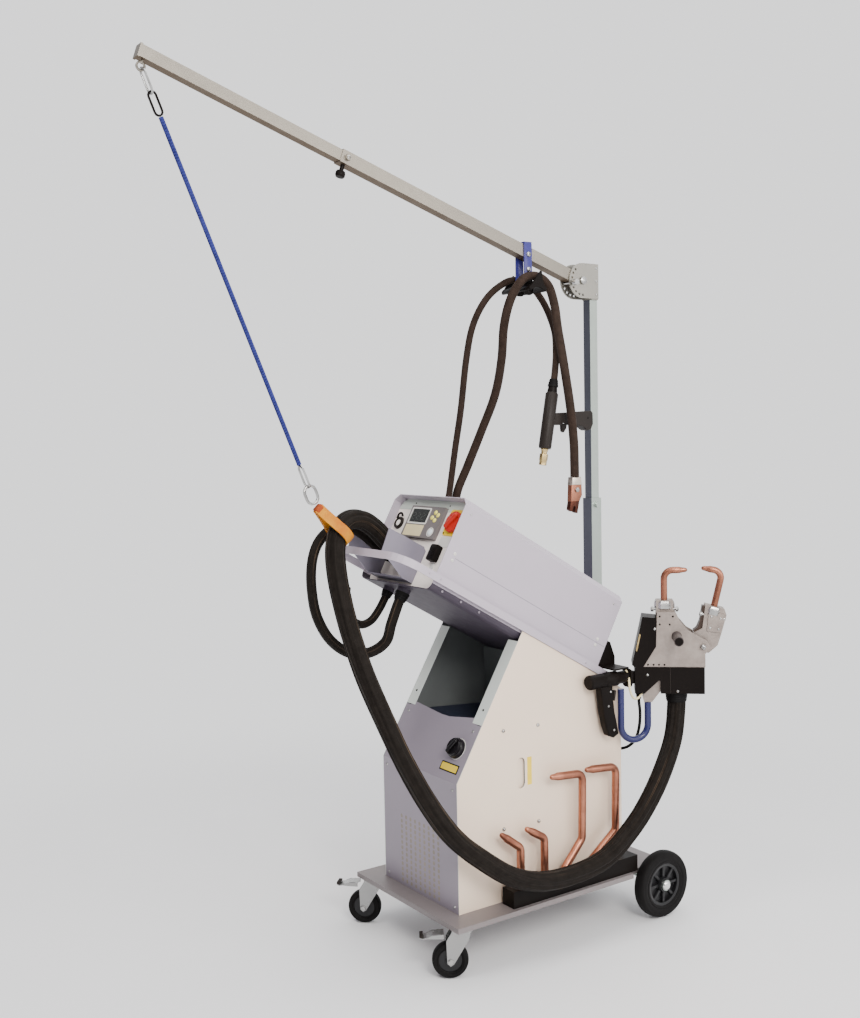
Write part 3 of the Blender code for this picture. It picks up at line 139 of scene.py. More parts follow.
# ------------------------------------------------------------------ node materials
class Nodes:
    """A small helper that adds and joins shader nodes."""

    def __init__(self, name):
        self.material = bpy.data.materials.new(name)
        self.material.use_nodes = True
        self.tree = self.material.node_tree
        self.shader = self.tree.nodes["Principled BSDF"]
        self.place = self.tree.nodes.new("ShaderNodeTexCoord")

    def add(self, kind, **values):
        node = self.tree.nodes.new(kind)
        for key, value in values.items():
            setattr(node, key, value)
        return node

    def link(self, source, target):
        self.tree.links.new(source, target)

    def ramp(self, source, stops):
        node = self.add("ShaderNodeValToRGB")
        while len(node.color_ramp.elements) < len(stops):
            node.color_ramp.elements.new(0.5)
        for element, (place, colour) in zip(node.color_ramp.elements, stops):
            element.position = place
            element.color = (*colour, 1.0)
        self.link(source, node.inputs["Fac"])
        return node.outputs["Color"]

    def texture(self, kind, **values):
        node = self.add(kind)
        for key, value in values.items():
            node.inputs[key.title()].default_value = value
        self.link(self.place.outputs["Object"], node.inputs["Vector"])
        return node

    def noise(self, scale, detail=4.0, roughness=0.55):
        return self.texture("ShaderNodeTexNoise", scale=scale, detail=detail,
                            roughness=roughness).outputs["Fac"]

    def cells(self, scale):
        return self.texture("ShaderNodeTexVoronoi", scale=scale).outputs["Distance"]

    def math(self, operation, *values):
        """One step of arithmetic on outputs and plain numbers."""
        node = self.add("ShaderNodeMath", operation=operation)
        for socket, value in zip(node.inputs, values):
            if isinstance(value, float):
                socket.default_value = value
            else:
                self.link(value, socket)
        return node.outputs["Value"]

    def mix(self, share, first, second):
        """Mixes two outputs, or an output and a plain colour."""
        node = self.add("ShaderNodeMix", data_type="RGBA", blend_type="MIX")
        self.link(share, node.inputs["Factor"])
        self.link(first, node.inputs["A"])
        if isinstance(second, tuple):
            node.inputs["B"].default_value = (*second, 1.0)
        else:
            self.link(second, node.inputs["B"])
        return node.outputs["Result"]

    def span(self, source, low, high, start=0.0, end=1.0):
        node = self.add("ShaderNodeMapRange")
        for key, value in (("From Min", start), ("From Max", end), ("To Min", low), ("To Max", high)):
            node.inputs[key].default_value = value
        self.link(source, node.inputs["Value"])
        return node.outputs["Result"]

    def colour(self, source):
        self.link(source, self.shader.inputs["Base Color"])

    def roughness(self, grain, low, high):
        self.link(self.span(grain, low, high), self.shader.inputs["Roughness"])

    def bump(self, height, strength, distance):
        node = self.add("ShaderNodeBump")
        node.inputs["Strength"].default_value = strength
        node.inputs["Distance"].default_value = distance
        self.link(height, node.inputs["Height"])
        self.link(node.outputs["Normal"], self.shader.inputs["Normal"])

    def set(self, **values):
        for key, value in values.items():
            name = key.replace("_", " ").title().replace("Ior", "IOR")
            self.shader.inputs[name].default_value = value


def shade(colour, factor):
    return tuple(min(1.0, channel * factor) for channel in colour)


def paint(name, colour, roughness=0.42, wear=0.12):
    """Powder coat: fine orange peel, with the colour a little uneven."""
    made = Nodes(name)
    made.colour(made.ramp(made.noise(3.0, 5.0), [(0.3, shade(colour, 1 - wear)),
                                                 (0.7, shade(colour, 1 + wear / 2))]))
    made.roughness(made.noise(40.0, 3.0), roughness - 0.07, roughness + 0.1)
    made.bump(made.noise(900.0, 2.0), 0.05, 0.0004)
    return made.material


def plastic(name, colour, roughness=0.45, shine=0.3):
    made = Nodes(name)
    made.colour(made.ramp(made.noise(6.0), [(0.35, shade(colour, 0.85)), (0.7, shade(colour, 1.15))]))
    made.roughness(made.noise(60.0, 3.0), roughness - 0.08, roughness + 0.1)
    made.bump(made.noise(1400.0, 2.0), 0.12, 0.0003)
    made.set(specular_ior_level=shine)
    return made.material


def zinc(name, colour, roughness=0.34, spangle=14.0):
    """Galvanised steel: patches of crystals with a soft shine."""
    made = Nodes(name)
    crystals = made.ramp(made.cells(spangle * 5), [(0.0, shade(colour, 0.94)), (0.6, colour)])
    clouds = made.ramp(made.noise(7.0, 5.0), [(0.3, shade(colour, 0.88)), (0.7, shade(colour, 1.08))])
    made.colour(made.mix(made.noise(spangle, 6.0), crystals, clouds))
    made.roughness(made.noise(25.0, 6.0), roughness - 0.1, roughness + 0.16)
    made.bump(made.noise(120.0, 3.0), 0.04, 0.0004)
    made.set(metallic=0.85)
    return made.material


def bare_metal(name, colour, roughness, worn, scale=30.0, bump=0.15, metallic=1.0):
    """Cast, machined or handled metal, with a darker worn tone in patches."""
    made = Nodes(name)
    made.colour(made.ramp(made.noise(scale, 7.0, 0.65), [(0.32, worn), (0.62, colour)]))
    made.roughness(made.noise(scale * 2.3, 5.0), roughness - 0.12, roughness + 0.2)
    made.bump(made.noise(scale * 12), bump, 0.0006)
    made.set(metallic=metallic)
    return made.material


def sleeve(name, colour, highlight, around, along, roughness=0.72, highlight_streaks=0):
    """A braided textile hose cover: two families of strands that cross, from the tube's UVs."""
    made = Nodes(name)
    split = made.add("ShaderNodeSeparateXYZ")
    made.link(made.place.outputs["UV"], split.inputs["Vector"])
    round_it, along_it = split.outputs["X"], split.outputs["Y"]
    first, second = [made.math("SINE", made.math("MULTIPLY_ADD", along_it, along * math.tau,
                                                 made.math("MULTIPLY", round_it,
                                                           around * math.tau * turn)))
                     for turn in (1, -1)]
    weave = made.span(made.math("MULTIPLY", first, second), 0.0, 1.0, -1.0)
    height = made.math("MULTIPLY_ADD", weave, 0.6, made.noise(45.0, 6.0))
    cover = made.ramp(height, [(0.35, colour), (1.0, highlight)])
    # painted highlight: pale streaks along the folds of the sleeve
    if highlight_streaks:
        cover = painted_highlight_streaks(made, round_it, cover, highlight_streaks)
    made.colour(cover)
    made.bump(height, 0.55, 0.0012)
    made.set(roughness=roughness, specular_ior_level=0.05, sheen_weight=0.03, sheen_roughness=0.4)
    return made.material


def painted_highlight_streaks(made, round_it, cover, highlight_streaks):
    """Pale streaks along the sleeve, in evenly spaced pairs that fade in and out: painted highlights
    along its folds.
    """
    wave = made.math("SINE", made.math("MULTIPLY", round_it, highlight_streaks * math.tau))
    black, white = (0, 0, 0), (1, 1, 1)
    line = made.ramp(wave, [(0.955, black), (0.97, white), (0.985, white), (0.996, black)])
    # noise fades the painted highlight streaks in and out
    worn = made.ramp(made.noise(5.0, 3.0), [(0.4, (0.05, 0.05, 0.05)), (0.62, white)])
    return made.mix(made.math("MULTIPLY", line, worn), cover, (0.105, 0.072, 0.048))


def leather(name, colour, dark):
    made = Nodes(name)
    made.colour(made.ramp(made.noise(18.0, 6.0), [(0.35, dark), (0.65, colour)]))
    made.bump(made.cells(500.0), 0.35, 0.0006)
    made.set(roughness=0.62, specular_ior_level=0.1)
    return made.material


def glass_face(name, colour):
    """A display's dark cover: smooth and a little coated."""
    made = Nodes(name)
    made.colour(made.ramp(made.noise(9.0, 2.0), [(0.3, shade(colour, 0.8)), (0.7, shade(colour, 1.2))]))
    made.set(roughness=0.12, coat_weight=0.4)
    return made.material


LILAC = paint("lilac_powder_coat", (0.46, 0.405, 0.47), 0.4, 0.05)
# painted shade: a near-black lilac for the tray below its rim, standing for the shadow under the rim
TRAY_SHADE = paint("tray_underside_painted_shade", (0.036, 0.026, 0.042), 0.6, 0.1)
GUIDE_GREY = paint("guide_powder_coat", (0.195, 0.178, 0.225), 0.42, 0.06)
# painted shade: the lilac at 0.6 of its brightness, for the front and rear panels, the slope's top edge
# and the screws under the tray
PANEL_PAINTED_SHADE = paint("panel_lilac_painted_shade", (0.275, 0.24, 0.285), 0.42, 0.06)
PLATFORM_GREY = paint("platform_powder_coat", (0.185, 0.16, 0.16), 0.45, 0.08)
CREAM = paint("cream_powder_coat", (0.86, 0.69, 0.54), 0.45, 0.04)
FLANGE_PALE = paint("flange_coat", (0.66, 0.7, 0.66), 0.45, 0.05)
# a dark grey-green for the inner walls of the side panels and the bin's front and back walls
DARK_WALL_GREY = paint("dark_wall_coat", (0.115, 0.125, 0.125), 0.6, 0.25)
PLATE_CREAM = paint("control_plate_coat", (0.92, 0.84, 0.78), 0.45, 0.04)
BLUE = paint("blue_paint", (0.028, 0.026, 0.19), 0.3, 0.2)
BOW_BLUE = paint("bow_blue_paint", (0.012, 0.014, 0.085), 0.28, 0.2)
BIN_DARK = paint("bin_floor_mat", (0.016, 0.022, 0.048), 0.6, 0.3)
ZINC = zinc("galvanised_tube", (0.42, 0.47, 0.43))
# painted shade: a dark galvanising for the mast's faces that look forward
ZINC_SHADE = zinc("mast_front_painted_shade", (0.115, 0.12, 0.15), 0.5)
BOOM_ZINC = zinc("galvanised_boom", (0.3, 0.272, 0.23), 0.34)
# painted shade: a dark galvanising for the boom's underside
BOOM_SHADE = zinc("boom_underside_painted_shade", (0.115, 0.08, 0.05), 0.5)
HEAD_ZINC = zinc("plated_head", (0.34, 0.325, 0.29), 0.36)
FORK_ZINC = zinc("zinc_plated_fork", (0.33, 0.33, 0.325), 0.22, 30.0)
STEEL = bare_metal("bright_steel", (0.54, 0.54, 0.53), 0.26, (0.27, 0.26, 0.25))
GUN_METAL = bare_metal("cast_gun_metal", (0.37, 0.315, 0.28), 0.46, (0.27, 0.225, 0.2), 22.0, 0.25, 0.6)
COPPER = bare_metal("handled_copper", (0.45, 0.185, 0.115), 0.33, (0.22, 0.085, 0.055), 14.0)
BRASS = bare_metal("brass_nut", (0.66, 0.5, 0.24), 0.32, (0.4, 0.28, 0.12))
CHROME = bare_metal("chrome_cap", (0.78, 0.78, 0.78), 0.14, (0.6, 0.6, 0.6), 30.0, 0.02)
IRON = bare_metal("transformer_core", (0.1, 0.1, 0.11), 0.6, (0.05, 0.05, 0.05), 40.0, 0.3, 0.5)
RUBBER = plastic("tyre_rubber", (0.0066, 0.006, 0.006), 0.6, 0.1)
BLACK = plastic("black_moulding", (0.007, 0.0052, 0.0046), 0.4, 0.07)
HUB_BLACK = plastic("wheel_hub_moulding", (0.01, 0.01, 0.011), 0.32)
DARK_GREY = plastic("dark_grey_moulding", (0.018, 0.014, 0.012), 0.45, 0.16)
GREY = plastic("display_housing", (0.175, 0.155, 0.155), 0.45)
RED = plastic("red_knob", (0.5, 0.022, 0.014), 0.3)
YELLOW = plastic("yellow_pad", (0.9, 0.62, 0.03), 0.4)
KEY_YELLOW = plastic("yellow_key", (0.92, 0.8, 0.16), 0.4)
WHITE = plastic("white_key", (0.8, 0.86, 0.94), 0.33)
LABEL = plastic("pale_label", (0.74, 0.72, 0.68), 0.5)
LABEL_YELLOW = plastic("yellow_label", (0.86, 0.62, 0.045), 0.5)
# the hose's sleeve carries three pairs of painted highlight streaks along it
HOSE = sleeve("hose_sleeve", (0.004, 0.0031, 0.0026), (0.015, 0.012, 0.01), 30, 260, 0.55, 3)
CABLE = sleeve("cable_sleeve", (0.013, 0.0085, 0.0065), (0.04, 0.026, 0.02), 12, 260)
ROPE = sleeve("rope_braid", (0.008, 0.009, 0.06), (0.036, 0.042, 0.19), 4, 70)
LEATHER = leather("tan_leather", (0.6, 0.255, 0.018), (0.44, 0.12, 0.01))
LEATHER_EDGE = leather("orange_leather", (0.36, 0.07, 0.016), (0.24, 0.04, 0.012))
SCREEN = glass_face("display_glass", (0.03, 0.033, 0.03))
SCREEN_LINE = glass_face("display_segment", (0.06, 0.064, 0.058))
SLOT_BROWN = plastic("grille_slot", (0.285, 0.245, 0.205), 0.6)
KNOB_BLACK = plastic("knob_moulding", (0.006, 0.005, 0.006), 0.25)
CLIP_ZINC = bare_metal("plated_crimp", (0.8, 0.72, 0.62), 0.3, (0.62, 0.52, 0.44), 30.0)
JAW_BROWN = bare_metal("scorched_jaw", (0.115, 0.042, 0.028), 0.42, (0.05, 0.02, 0.015), 20.0)
SEAM = plastic("hood_seam_shadow", (0.2, 0.19, 0.22), 0.6)
# painted shadow of the hood: a grey-green strip over the top of the control plate
PLATE_HOOD_SHADOW = paint("plate_hood_painted_shadow_coat", (0.56, 0.61, 0.55), 0.34, 0.12)
LABEL_BEIGE = plastic("beige_label", (0.8, 0.68, 0.4), 0.5)
HANDLE_GREY = plastic("handle_sleeve", (0.05, 0.04, 0.038), 0.35)
SHUNT = plastic("shunt_cover", (0.05, 0.03, 0.022), 0.5)
STITCH = plastic("waxed_thread", (0.62, 0.52, 0.36), 0.6)


# ------------------------------------------------------------------ mesh helpers
def add_object(name, data):
    obj = bpy.data.objects.new(name, data)
    bpy.context.scene.collection.objects.link(obj)
    return obj


def soften(obj, angle=35.0):
    """Smooth shading, with edges sharper than the angle kept sharp."""
    obj.data.polygons.foreach_set("use_smooth", [True] * len(obj.data.polygons))
    obj.data.set_sharp_from_angle(angle=math.radians(angle))


def add_box(bm, size, centre, bevel=0.0, segments=2, rotation=None):
    """A block with all its edges rounded off."""
    made = bmesh.ops.create_cube(bm, size=1.0)["verts"]
    bmesh.ops.scale(bm, vec=Vector(size), verts=made)
    if bevel:
        edges = list({edge for vert in made for edge in vert.link_edges})
        done = bmesh.ops.bevel(bm, geom=edges, offset=bevel, segments=segments, profile=0.5,
                               affect="EDGES")
        made = list({vert for face in done["faces"] for vert in face.verts} | {v for v in made
                                                                              if v.is_valid})
    if rotation:
        bmesh.ops.rotate(bm, matrix=rotation, verts=made)
    bmesh.ops.translate(bm, vec=Vector(centre), verts=made)


def skin(bm, rings, closed=False):
    """Joins each ring of vertices to the next with faces; a ring of one vertex ends in a point."""
    faces = []
    for first, second in zip(rings, rings[1:] + rings[:1 if closed else 0]):
        for k in range(max(len(first), len(second))):
            corners = [ring[j % len(ring)] for ring, j in ((first, k), (first, k + 1),
                                                           (second, k + 1), (second, k))]
            faces.append(bm.faces.new(list(dict.fromkeys(corners))))
    return faces


def add_turned(bm, profile, centre=(0, 0, 0), steps=32, rotation=None, ring=False):
    """A profile of (radius, height) turned round z: a solid, or a ring if the profile is closed."""
    rotation = rotation or Matrix.Identity(3)
    if not ring:
        ends = [[(0.0, height)] if radius else [] for radius, height in (profile[0], profile[-1])]
        profile = ends[0] + profile + ends[1]
    rings = []
    for radius, height in profile:
        turns = [math.tau * k / steps for k in range(steps if radius else 1)]
        rings.append([bm.verts.new(Vector(centre) + rotation
                                   @ Vector((radius * math.cos(t), radius * math.sin(t), height)))
                      for t in turns])
    skin(bm, rings, ring)


def add_outline(bm, loop, low, high, bevel=0.0, segments=2, profile=0.5, plane=None):
    """A flat outline in x and y, from z = low to z = high, with its rims rounded off."""
    plane = plane or Matrix.Identity(4)
    rings = [[bm.verts.new(plane @ Vector((x, y, z))) for x, y in loop] for z in (low, high)]
    caps = [bm.faces.new(ring) for ring in rings]
    skin(bm, rings)
    if bevel:
        edges = [edge for cap in caps for edge in cap.edges]
        bmesh.ops.bevel(bm, geom=edges, offset=bevel, segments=segments, profile=profile,
                        affect="EDGES")


def add_ring(bm, outer, inner, low, high):
    """A flat frame between two loops with the same number of points."""
    skin(bm, [[bm.verts.new((x, y, z)) for x, y in loop]
              for loop, z in ((outer, low), (outer, high), (inner, high), (inner, low))], True)


def piece(name, material, body, matrix, build, angle=35.0, stands_for=()):
    """A mesh that the function build adds to, on a drawing plane, riding on a body."""
    bm = bmesh.new()
    build(bm)
    bmesh.ops.recalc_face_normals(bm, faces=bm.faces)
    mesh = bpy.data.meshes.new(name)
    bm.to_mesh(mesh)
    bm.free()
    mesh.materials.append(material)
    obj = add_object(name, mesh)
    soften(obj, angle)
    obj.matrix_world = matrix
    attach(obj, body)
    if stands_for:
        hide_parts(*stands_for)
    return obj


def turned(name, material, body, matrix, profile, centre=(0, 0, 0), steps=32, angle=35.0,
           stands_for=(), rotation=None):
    """A piece that is one turned solid."""
    return piece(name, material, body, matrix,
                 lambda bm: add_turned(bm, profile, centre, steps, rotation), angle, stands_for)


def screws(name, plane, places, radius=0.0042, rise=0.0028, body="machine", material=STEEL):
    """Domed heads, each with a small recess for the key."""
    dome = [(radius, -0.0003), (radius, 0.2 * rise), (0.86 * radius, 0.62 * rise),
            (0.55 * radius, 0.93 * rise), (0.36 * radius, rise), (0.32 * radius, 0.35 * rise)]

    def build(bm):
        for x, y in places:
            add_turned(bm, dome, (x, y, 0), 20)
    piece(name, material, body, plane, build, 50.0)


def pads(name, material, plane, loops, low, high, body="machine", bevel=0.0003, stands_for=()):
    """Flat pads on a surface, one for each loop."""
    def build(bm):
        for loop in loops:
            add_outline(bm, loop, low, high, bevel, 1)
    piece(name, material, body, plane, build, stands_for=stands_for)


def around(loop, x, y, radius):
    """A circle about (x, y) whose points face those of the loop."""
    turns = [math.atan2(b - y, a - x) for a, b in loop]
    return [(x + radius * math.cos(turn), y + radius * math.sin(turn)) for turn in turns]


def arc(x, y, radius, start, sweep, steps):
    """Points on an arc; the angles are in degrees."""
    turns = [math.radians(start + sweep * k / steps) for k in range(steps + 1)]
    return [(x + radius * math.cos(turn), y + radius * math.sin(turn)) for turn in turns]


def turn_to(direction):
    """The rotation that takes z to the direction."""
    return Vector(direction).to_track_quat("Z", "Y").to_matrix()


def turned_over(sign):
    """Half a turn about x for the far side, where sign is -1."""
    return Matrix.Rotation(0.0 if sign > 0 else math.pi, 3, "X")


def rounded_loop(x, y, width, height, radius, steps=5):
    """A rectangle about (x, y) with rounded corners."""
    points = []
    corners = ((1, 1, 0.0), (-1, 1, 0.5), (-1, -1, 1.0), (1, -1, 1.5))
    for sx, sy, quarter in corners:
        for k in range(steps):
            angle = math.pi * (quarter + 0.5 * k / (steps - 1))
            points.append((x + sx * (width / 2 - radius) + radius * math.cos(angle),
                           y + sy * (height / 2 - radius) + radius * math.sin(angle)))
    return points


def smooth(points, spacing):
    """Points along a smooth curve through the given ones, about the spacing apart."""
    points = [Vector(p) for p in points]
    padded = [2 * points[0] - points[1]] + points + [2 * points[-1] - points[-2]]
    path = [points[0]]
    for a, b, c, d in zip(padded, padded[1:], padded[2:], padded[3:]):
        count = max(1, round((c - b).length / spacing))
        for index in range(1, count + 1):
            t = index / count
            path.append(0.5 * (2 * b + (c - a) * t + (2 * a - 5 * b + 4 * c - d) * t ** 2
                               + (3 * b - a - 3 * c + d) * t ** 3))
    return path


def path_length(path):
    return sum((b - a).length for a, b in zip(path, path[1:]))


def add_tube(bm, path, radius, sides=24):
    """A swept tube; radius is a number or a function of (share round, metres along)."""
    size = radius if callable(radius) else (lambda share, along: radius)
    uv = bm.loops.layers.uv.verify()
    ends = zip([path[0]] + path[:-1], path[1:] + [path[-1]])
    tangents = [(after - before).normalized() for before, after in ends]
    normal = tangents[0].orthogonal().normalized()
    rings, lengths, along = [], [], 0.0
    for index, (point, tangent) in enumerate(zip(path, tangents)):
        if index:
            along += (point - path[index - 1]).length
        normal = (normal - tangent * normal.dot(tangent)).normalized()
        side = tangent.cross(normal)
        ring = []
        for k in range(sides):
            angle = math.tau * k / sides
            ring.append(bm.verts.new(point + (normal * math.cos(angle) + side * math.sin(angle))
                                     * size(k / sides, along)))
        rings.append(ring)
        lengths.append(along)
    for number, face in enumerate(skin(bm, rings)):
        row, k = divmod(number, sides)
        corners = ((k, row), (k + 1, row), (k + 1, row + 1), (k, row + 1))
        for loop, (turn, place) in zip(face.loops, corners):
            loop[uv].uv = (turn / sides, lengths[place])
    bm.faces.new(rings[0][::-1])
    bm.faces.new(rings[-1])


def filleted(points, radii, steps=6):
    """A path with its inner corners rounded by arcs of the given radii."""
    path = [Vector(points[0])]
    for before, corner, after, radius in zip(points, points[1:], points[2:], radii):
        corner = Vector(corner)
        arriving = (Vector(before) - corner).normalized()
        leaving = (Vector(after) - corner).normalized()
        half = arriving.angle(leaving) / 2
        middle = corner + (arriving + leaving).normalized() * (radius / math.sin(half))
        start = corner + arriving * (radius / math.tan(half)) - middle
        end = corner + leaving * (radius / math.tan(half)) - middle
        angle = start.angle(end)
        for index in range(steps + 1):
            share = index / steps
            path.append(middle + (start * math.sin((1 - share) * angle)
                                  + end * math.sin(share * angle)) / math.sin(angle))
    path.append(Vector(points[-1]))
    return path


def repaint(node, material, angle=35.0):
    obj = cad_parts[node]
    if not obj.material_slots:
        obj.data.materials.append(material)
    for slot in obj.material_slots:
        slot.material = material
    soften(obj, angle)


def paint_faces(node, material, chosen):
    """Gives a second material to the faces whose centre, in the machine's own axes, and normal are
    chosen; it lays the painted shade on the tray, mast and boom, and other colours elsewhere.
    """
    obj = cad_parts[node]
    obj.data.materials.append(material)
    number = len(obj.data.materials) - 1
    for face in obj.data.polygons:
        centre = obj.matrix_world @ face.center
        normal = obj.matrix_world.to_3x3() @ face.normal
        if chosen(centre - ORIGIN_SHIFT, normal):
            face.material_index = number


# ------------------------------------------------------------------ camera, light and floor
def make_camera():
    """The photograph's view, found by fitting a camera to the machine's straight edges."""
    data = bpy.data.cameras.new("camera")
    data.sensor_width = 36.0
    data.lens = 41.27
    data.clip_end = 60.0
    camera = add_object("camera", data)
    place = Vector((2.7098, -1.7656, 1.4733)) + ORIGIN_SHIFT
    heading, pitch, roll = [math.radians(angle) for angle in (55.26, -3.748, -1.095)]
    camera.matrix_world = (Matrix.Translation(place) @ Matrix.Rotation(heading, 4, "Z")
                           @ Matrix.Rotation(math.pi / 2 + pitch, 4, "X")
                           @ Matrix.Rotation(roll, 4, "Z"))
    bpy.context.scene.camera = camera


def make_light(name, place, target, size, power, colour=(1, 1, 1)):
    data = bpy.data.lights.new(name, "AREA")
    data.shape = "RECTANGLE"
    data.size, data.size_y = size
    data.energy = power
    data.color = colour
    light = add_object(name, data)
    light.location = place
    light.rotation_euler = (Vector(target) - Vector(place)).to_track_quat("-Z", "Y").to_euler()


def make_floor_material(sky, strength):
    """A pale floor that passes, away from the machine, into the colour of the studio behind it."""
    made = Nodes("pale_floor")
    made.colour(made.ramp(made.noise(0.8, 3.0), [(0.3, (0.84, 0.84, 0.85)), (0.7, (0.88, 0.88, 0.89))]))
    made.set(roughness=0.8)
    glow = made.add("ShaderNodeEmission")
    glow.inputs["Color"].default_value = (*sky, 1.0)
    glow.inputs["Strength"].default_value = strength
    length = made.add("ShaderNodeVectorMath", operation="LENGTH")
    made.link(made.place.outputs["Object"], length.inputs[0])
    share = made.span(length.outputs["Value"], 0.0, 1.0, 1.1, 3.0)
    share.node.interpolation_type = "SMOOTHSTEP"
    mixed = made.add("ShaderNodeMixShader")
    made.link(share, mixed.inputs["Fac"])
    made.link(made.shader.outputs["BSDF"], mixed.inputs[1])
    made.link(glow.outputs["Emission"], mixed.inputs[2])
    output = [node for node in made.tree.nodes if node.type == "OUTPUT_MATERIAL"][0]
    made.link(mixed.outputs["Shader"], output.inputs["Surface"])
    return made.material


def make_world(sky, shade_side, strength):
    """An even pale studio, darker on the side in front of the machine."""
    world = bpy.data.worlds.new("studio")
    world.use_nodes = True
    tree = world.node_tree
    background = tree.nodes["Background"]
    place = tree.nodes.new("ShaderNodeTexCoord")
    facing = tree.nodes.new("ShaderNodeVectorMath")
    facing.operation = "DOT_PRODUCT"
    facing.inputs[1].default_value = Vector((-0.3, -0.95, 0.0)).normalized()
    tree.links.new(place.outputs["Generated"], facing.inputs[0])
    ramp = tree.nodes.new("ShaderNodeValToRGB")
    for element, stop, colour in zip(ramp.color_ramp.elements, (0.07, 0.6), (sky, shade_side)):
        element.position = stop
        element.color = (*colour, 1.0)
    tree.links.new(facing.outputs["Value"], ramp.inputs["Fac"])
    tree.links.new(ramp.outputs["Color"], background.inputs["Color"])
    background.inputs["Strength"].default_value = strength
    bpy.context.scene.world = world


def make_stage():
    """The floor, the studio behind it and four soft lights."""
    sky, strength = (0.99, 0.99, 1.0), 1.5
    bm = bmesh.new()
    bmesh.ops.create_grid(bm, x_segments=2, y_segments=2, size=30.0)
    mesh = bpy.data.meshes.new("floor")
    bm.to_mesh(mesh)
    bm.free()
    floor = add_object("floor", mesh)
    floor.location.z = -0.0005
    mesh.materials.append(make_floor_material(sky, strength))
    make_world(sky, (0.1, 0.095, 0.11), strength)
    make_light("key", (4.2, -1.2, 3.4), (0, 0, 0.9), (1.6, 1.6), 190, (1.0, 0.97, 0.93))
    make_light("side", (4.5, 2.0, 2.2), (0, 0.1, 0.8), (2.2, 2.2), 60, (1.0, 0.96, 0.92))
    make_light("top", (0.3, 0.4, 4.6), (0, 0, 0.8), (2.5, 2.5), 50)
    make_light("front_top", (0.4, -2.6, 4.8), (0, 0, 1.0), (1.6, 1.6), 70, (1.0, 0.98, 0.96))


# ------------------------------------------------------------------ cords
def make_cord(name, route, radius, material, body, node, spacing, shape=None,
              sides=28):
    """A cord along its route that stands for its CAD node; shape is a radius function."""
    path = [point + ORIGIN_SHIFT for point in smooth(route, spacing)]
    obj = piece(name, material, body, Matrix.Identity(4),
                lambda bm: add_tube(bm, path, shape or radius, sides), 60.0, (node,))


def bundle(radius, lobes, depth, twist):
    """The surface of a sleeve pulled over several hoses: soft lobes that wind round slowly."""
    def reach(share, along):
        turn = math.tau * (share * lobes + along * twist)
        wrinkle = 0.35 * math.sin(math.tau * (share * (2 * lobes + 1) - along * 2.3))
        return radius - depth * (0.5 - 0.5 * math.cos(turn)) * 0.9 + depth * wrinkle * 0.5
    return reach


def make_cords():
    """The seven cords; the rope runs between its upper hook and the carabiner at the sling."""
    make_cord("hose_pack_sleeve", HOSE_ROUTE, 0.028, HOSE, "machine", "hose_pack", 0.008,
              bundle(0.028, 7, 0.004, 0.5), sides=72)
    make_cord("return_hose_sleeve", RETURN_ROUTE, 0.015, HOSE, "machine", "return_hose", 0.006,
              bundle(0.015, 4, 0.0014, 1.6), sides=40)
    make_cord("return_hose_small_sleeve", SMALL_RETURN_ROUTE, 0.0115, HOSE, "machine",
              "return_hose_small", 0.006, sides=32)
    make_cord("stud_cable_sleeve", STUD_ROUTE, 0.0105, CABLE, "cable_drop", "stud_cable", 0.007,
              bundle(0.0106, 3, 0.001, 2.0))
    make_cord("earth_cable_sleeve", EARTH_ROUTE, 0.0135, CABLE, "cable_drop", "earth_cable", 0.007,
              bundle(0.0136, 3, 0.0011, 2.0))
    make_cord("gun_control_cable_sleeve", CONTROL_ROUTE, 0.0045, RUBBER, "machine",
              "gun_control_cable", 0.004, sides=16)
    whole = SLING_TOP - EYE
    above, below, parts = 0.1214, 0.118, 16
    step = (whole.length - below - above) / parts
    route = [EYE + whole.normalized() * (above + step * k) for k in range(parts + 1)]
    make_cord("rope_braided", route, 0.006, ROPE, "hanger", "balancer_rope", 0.006,
              sides=16)


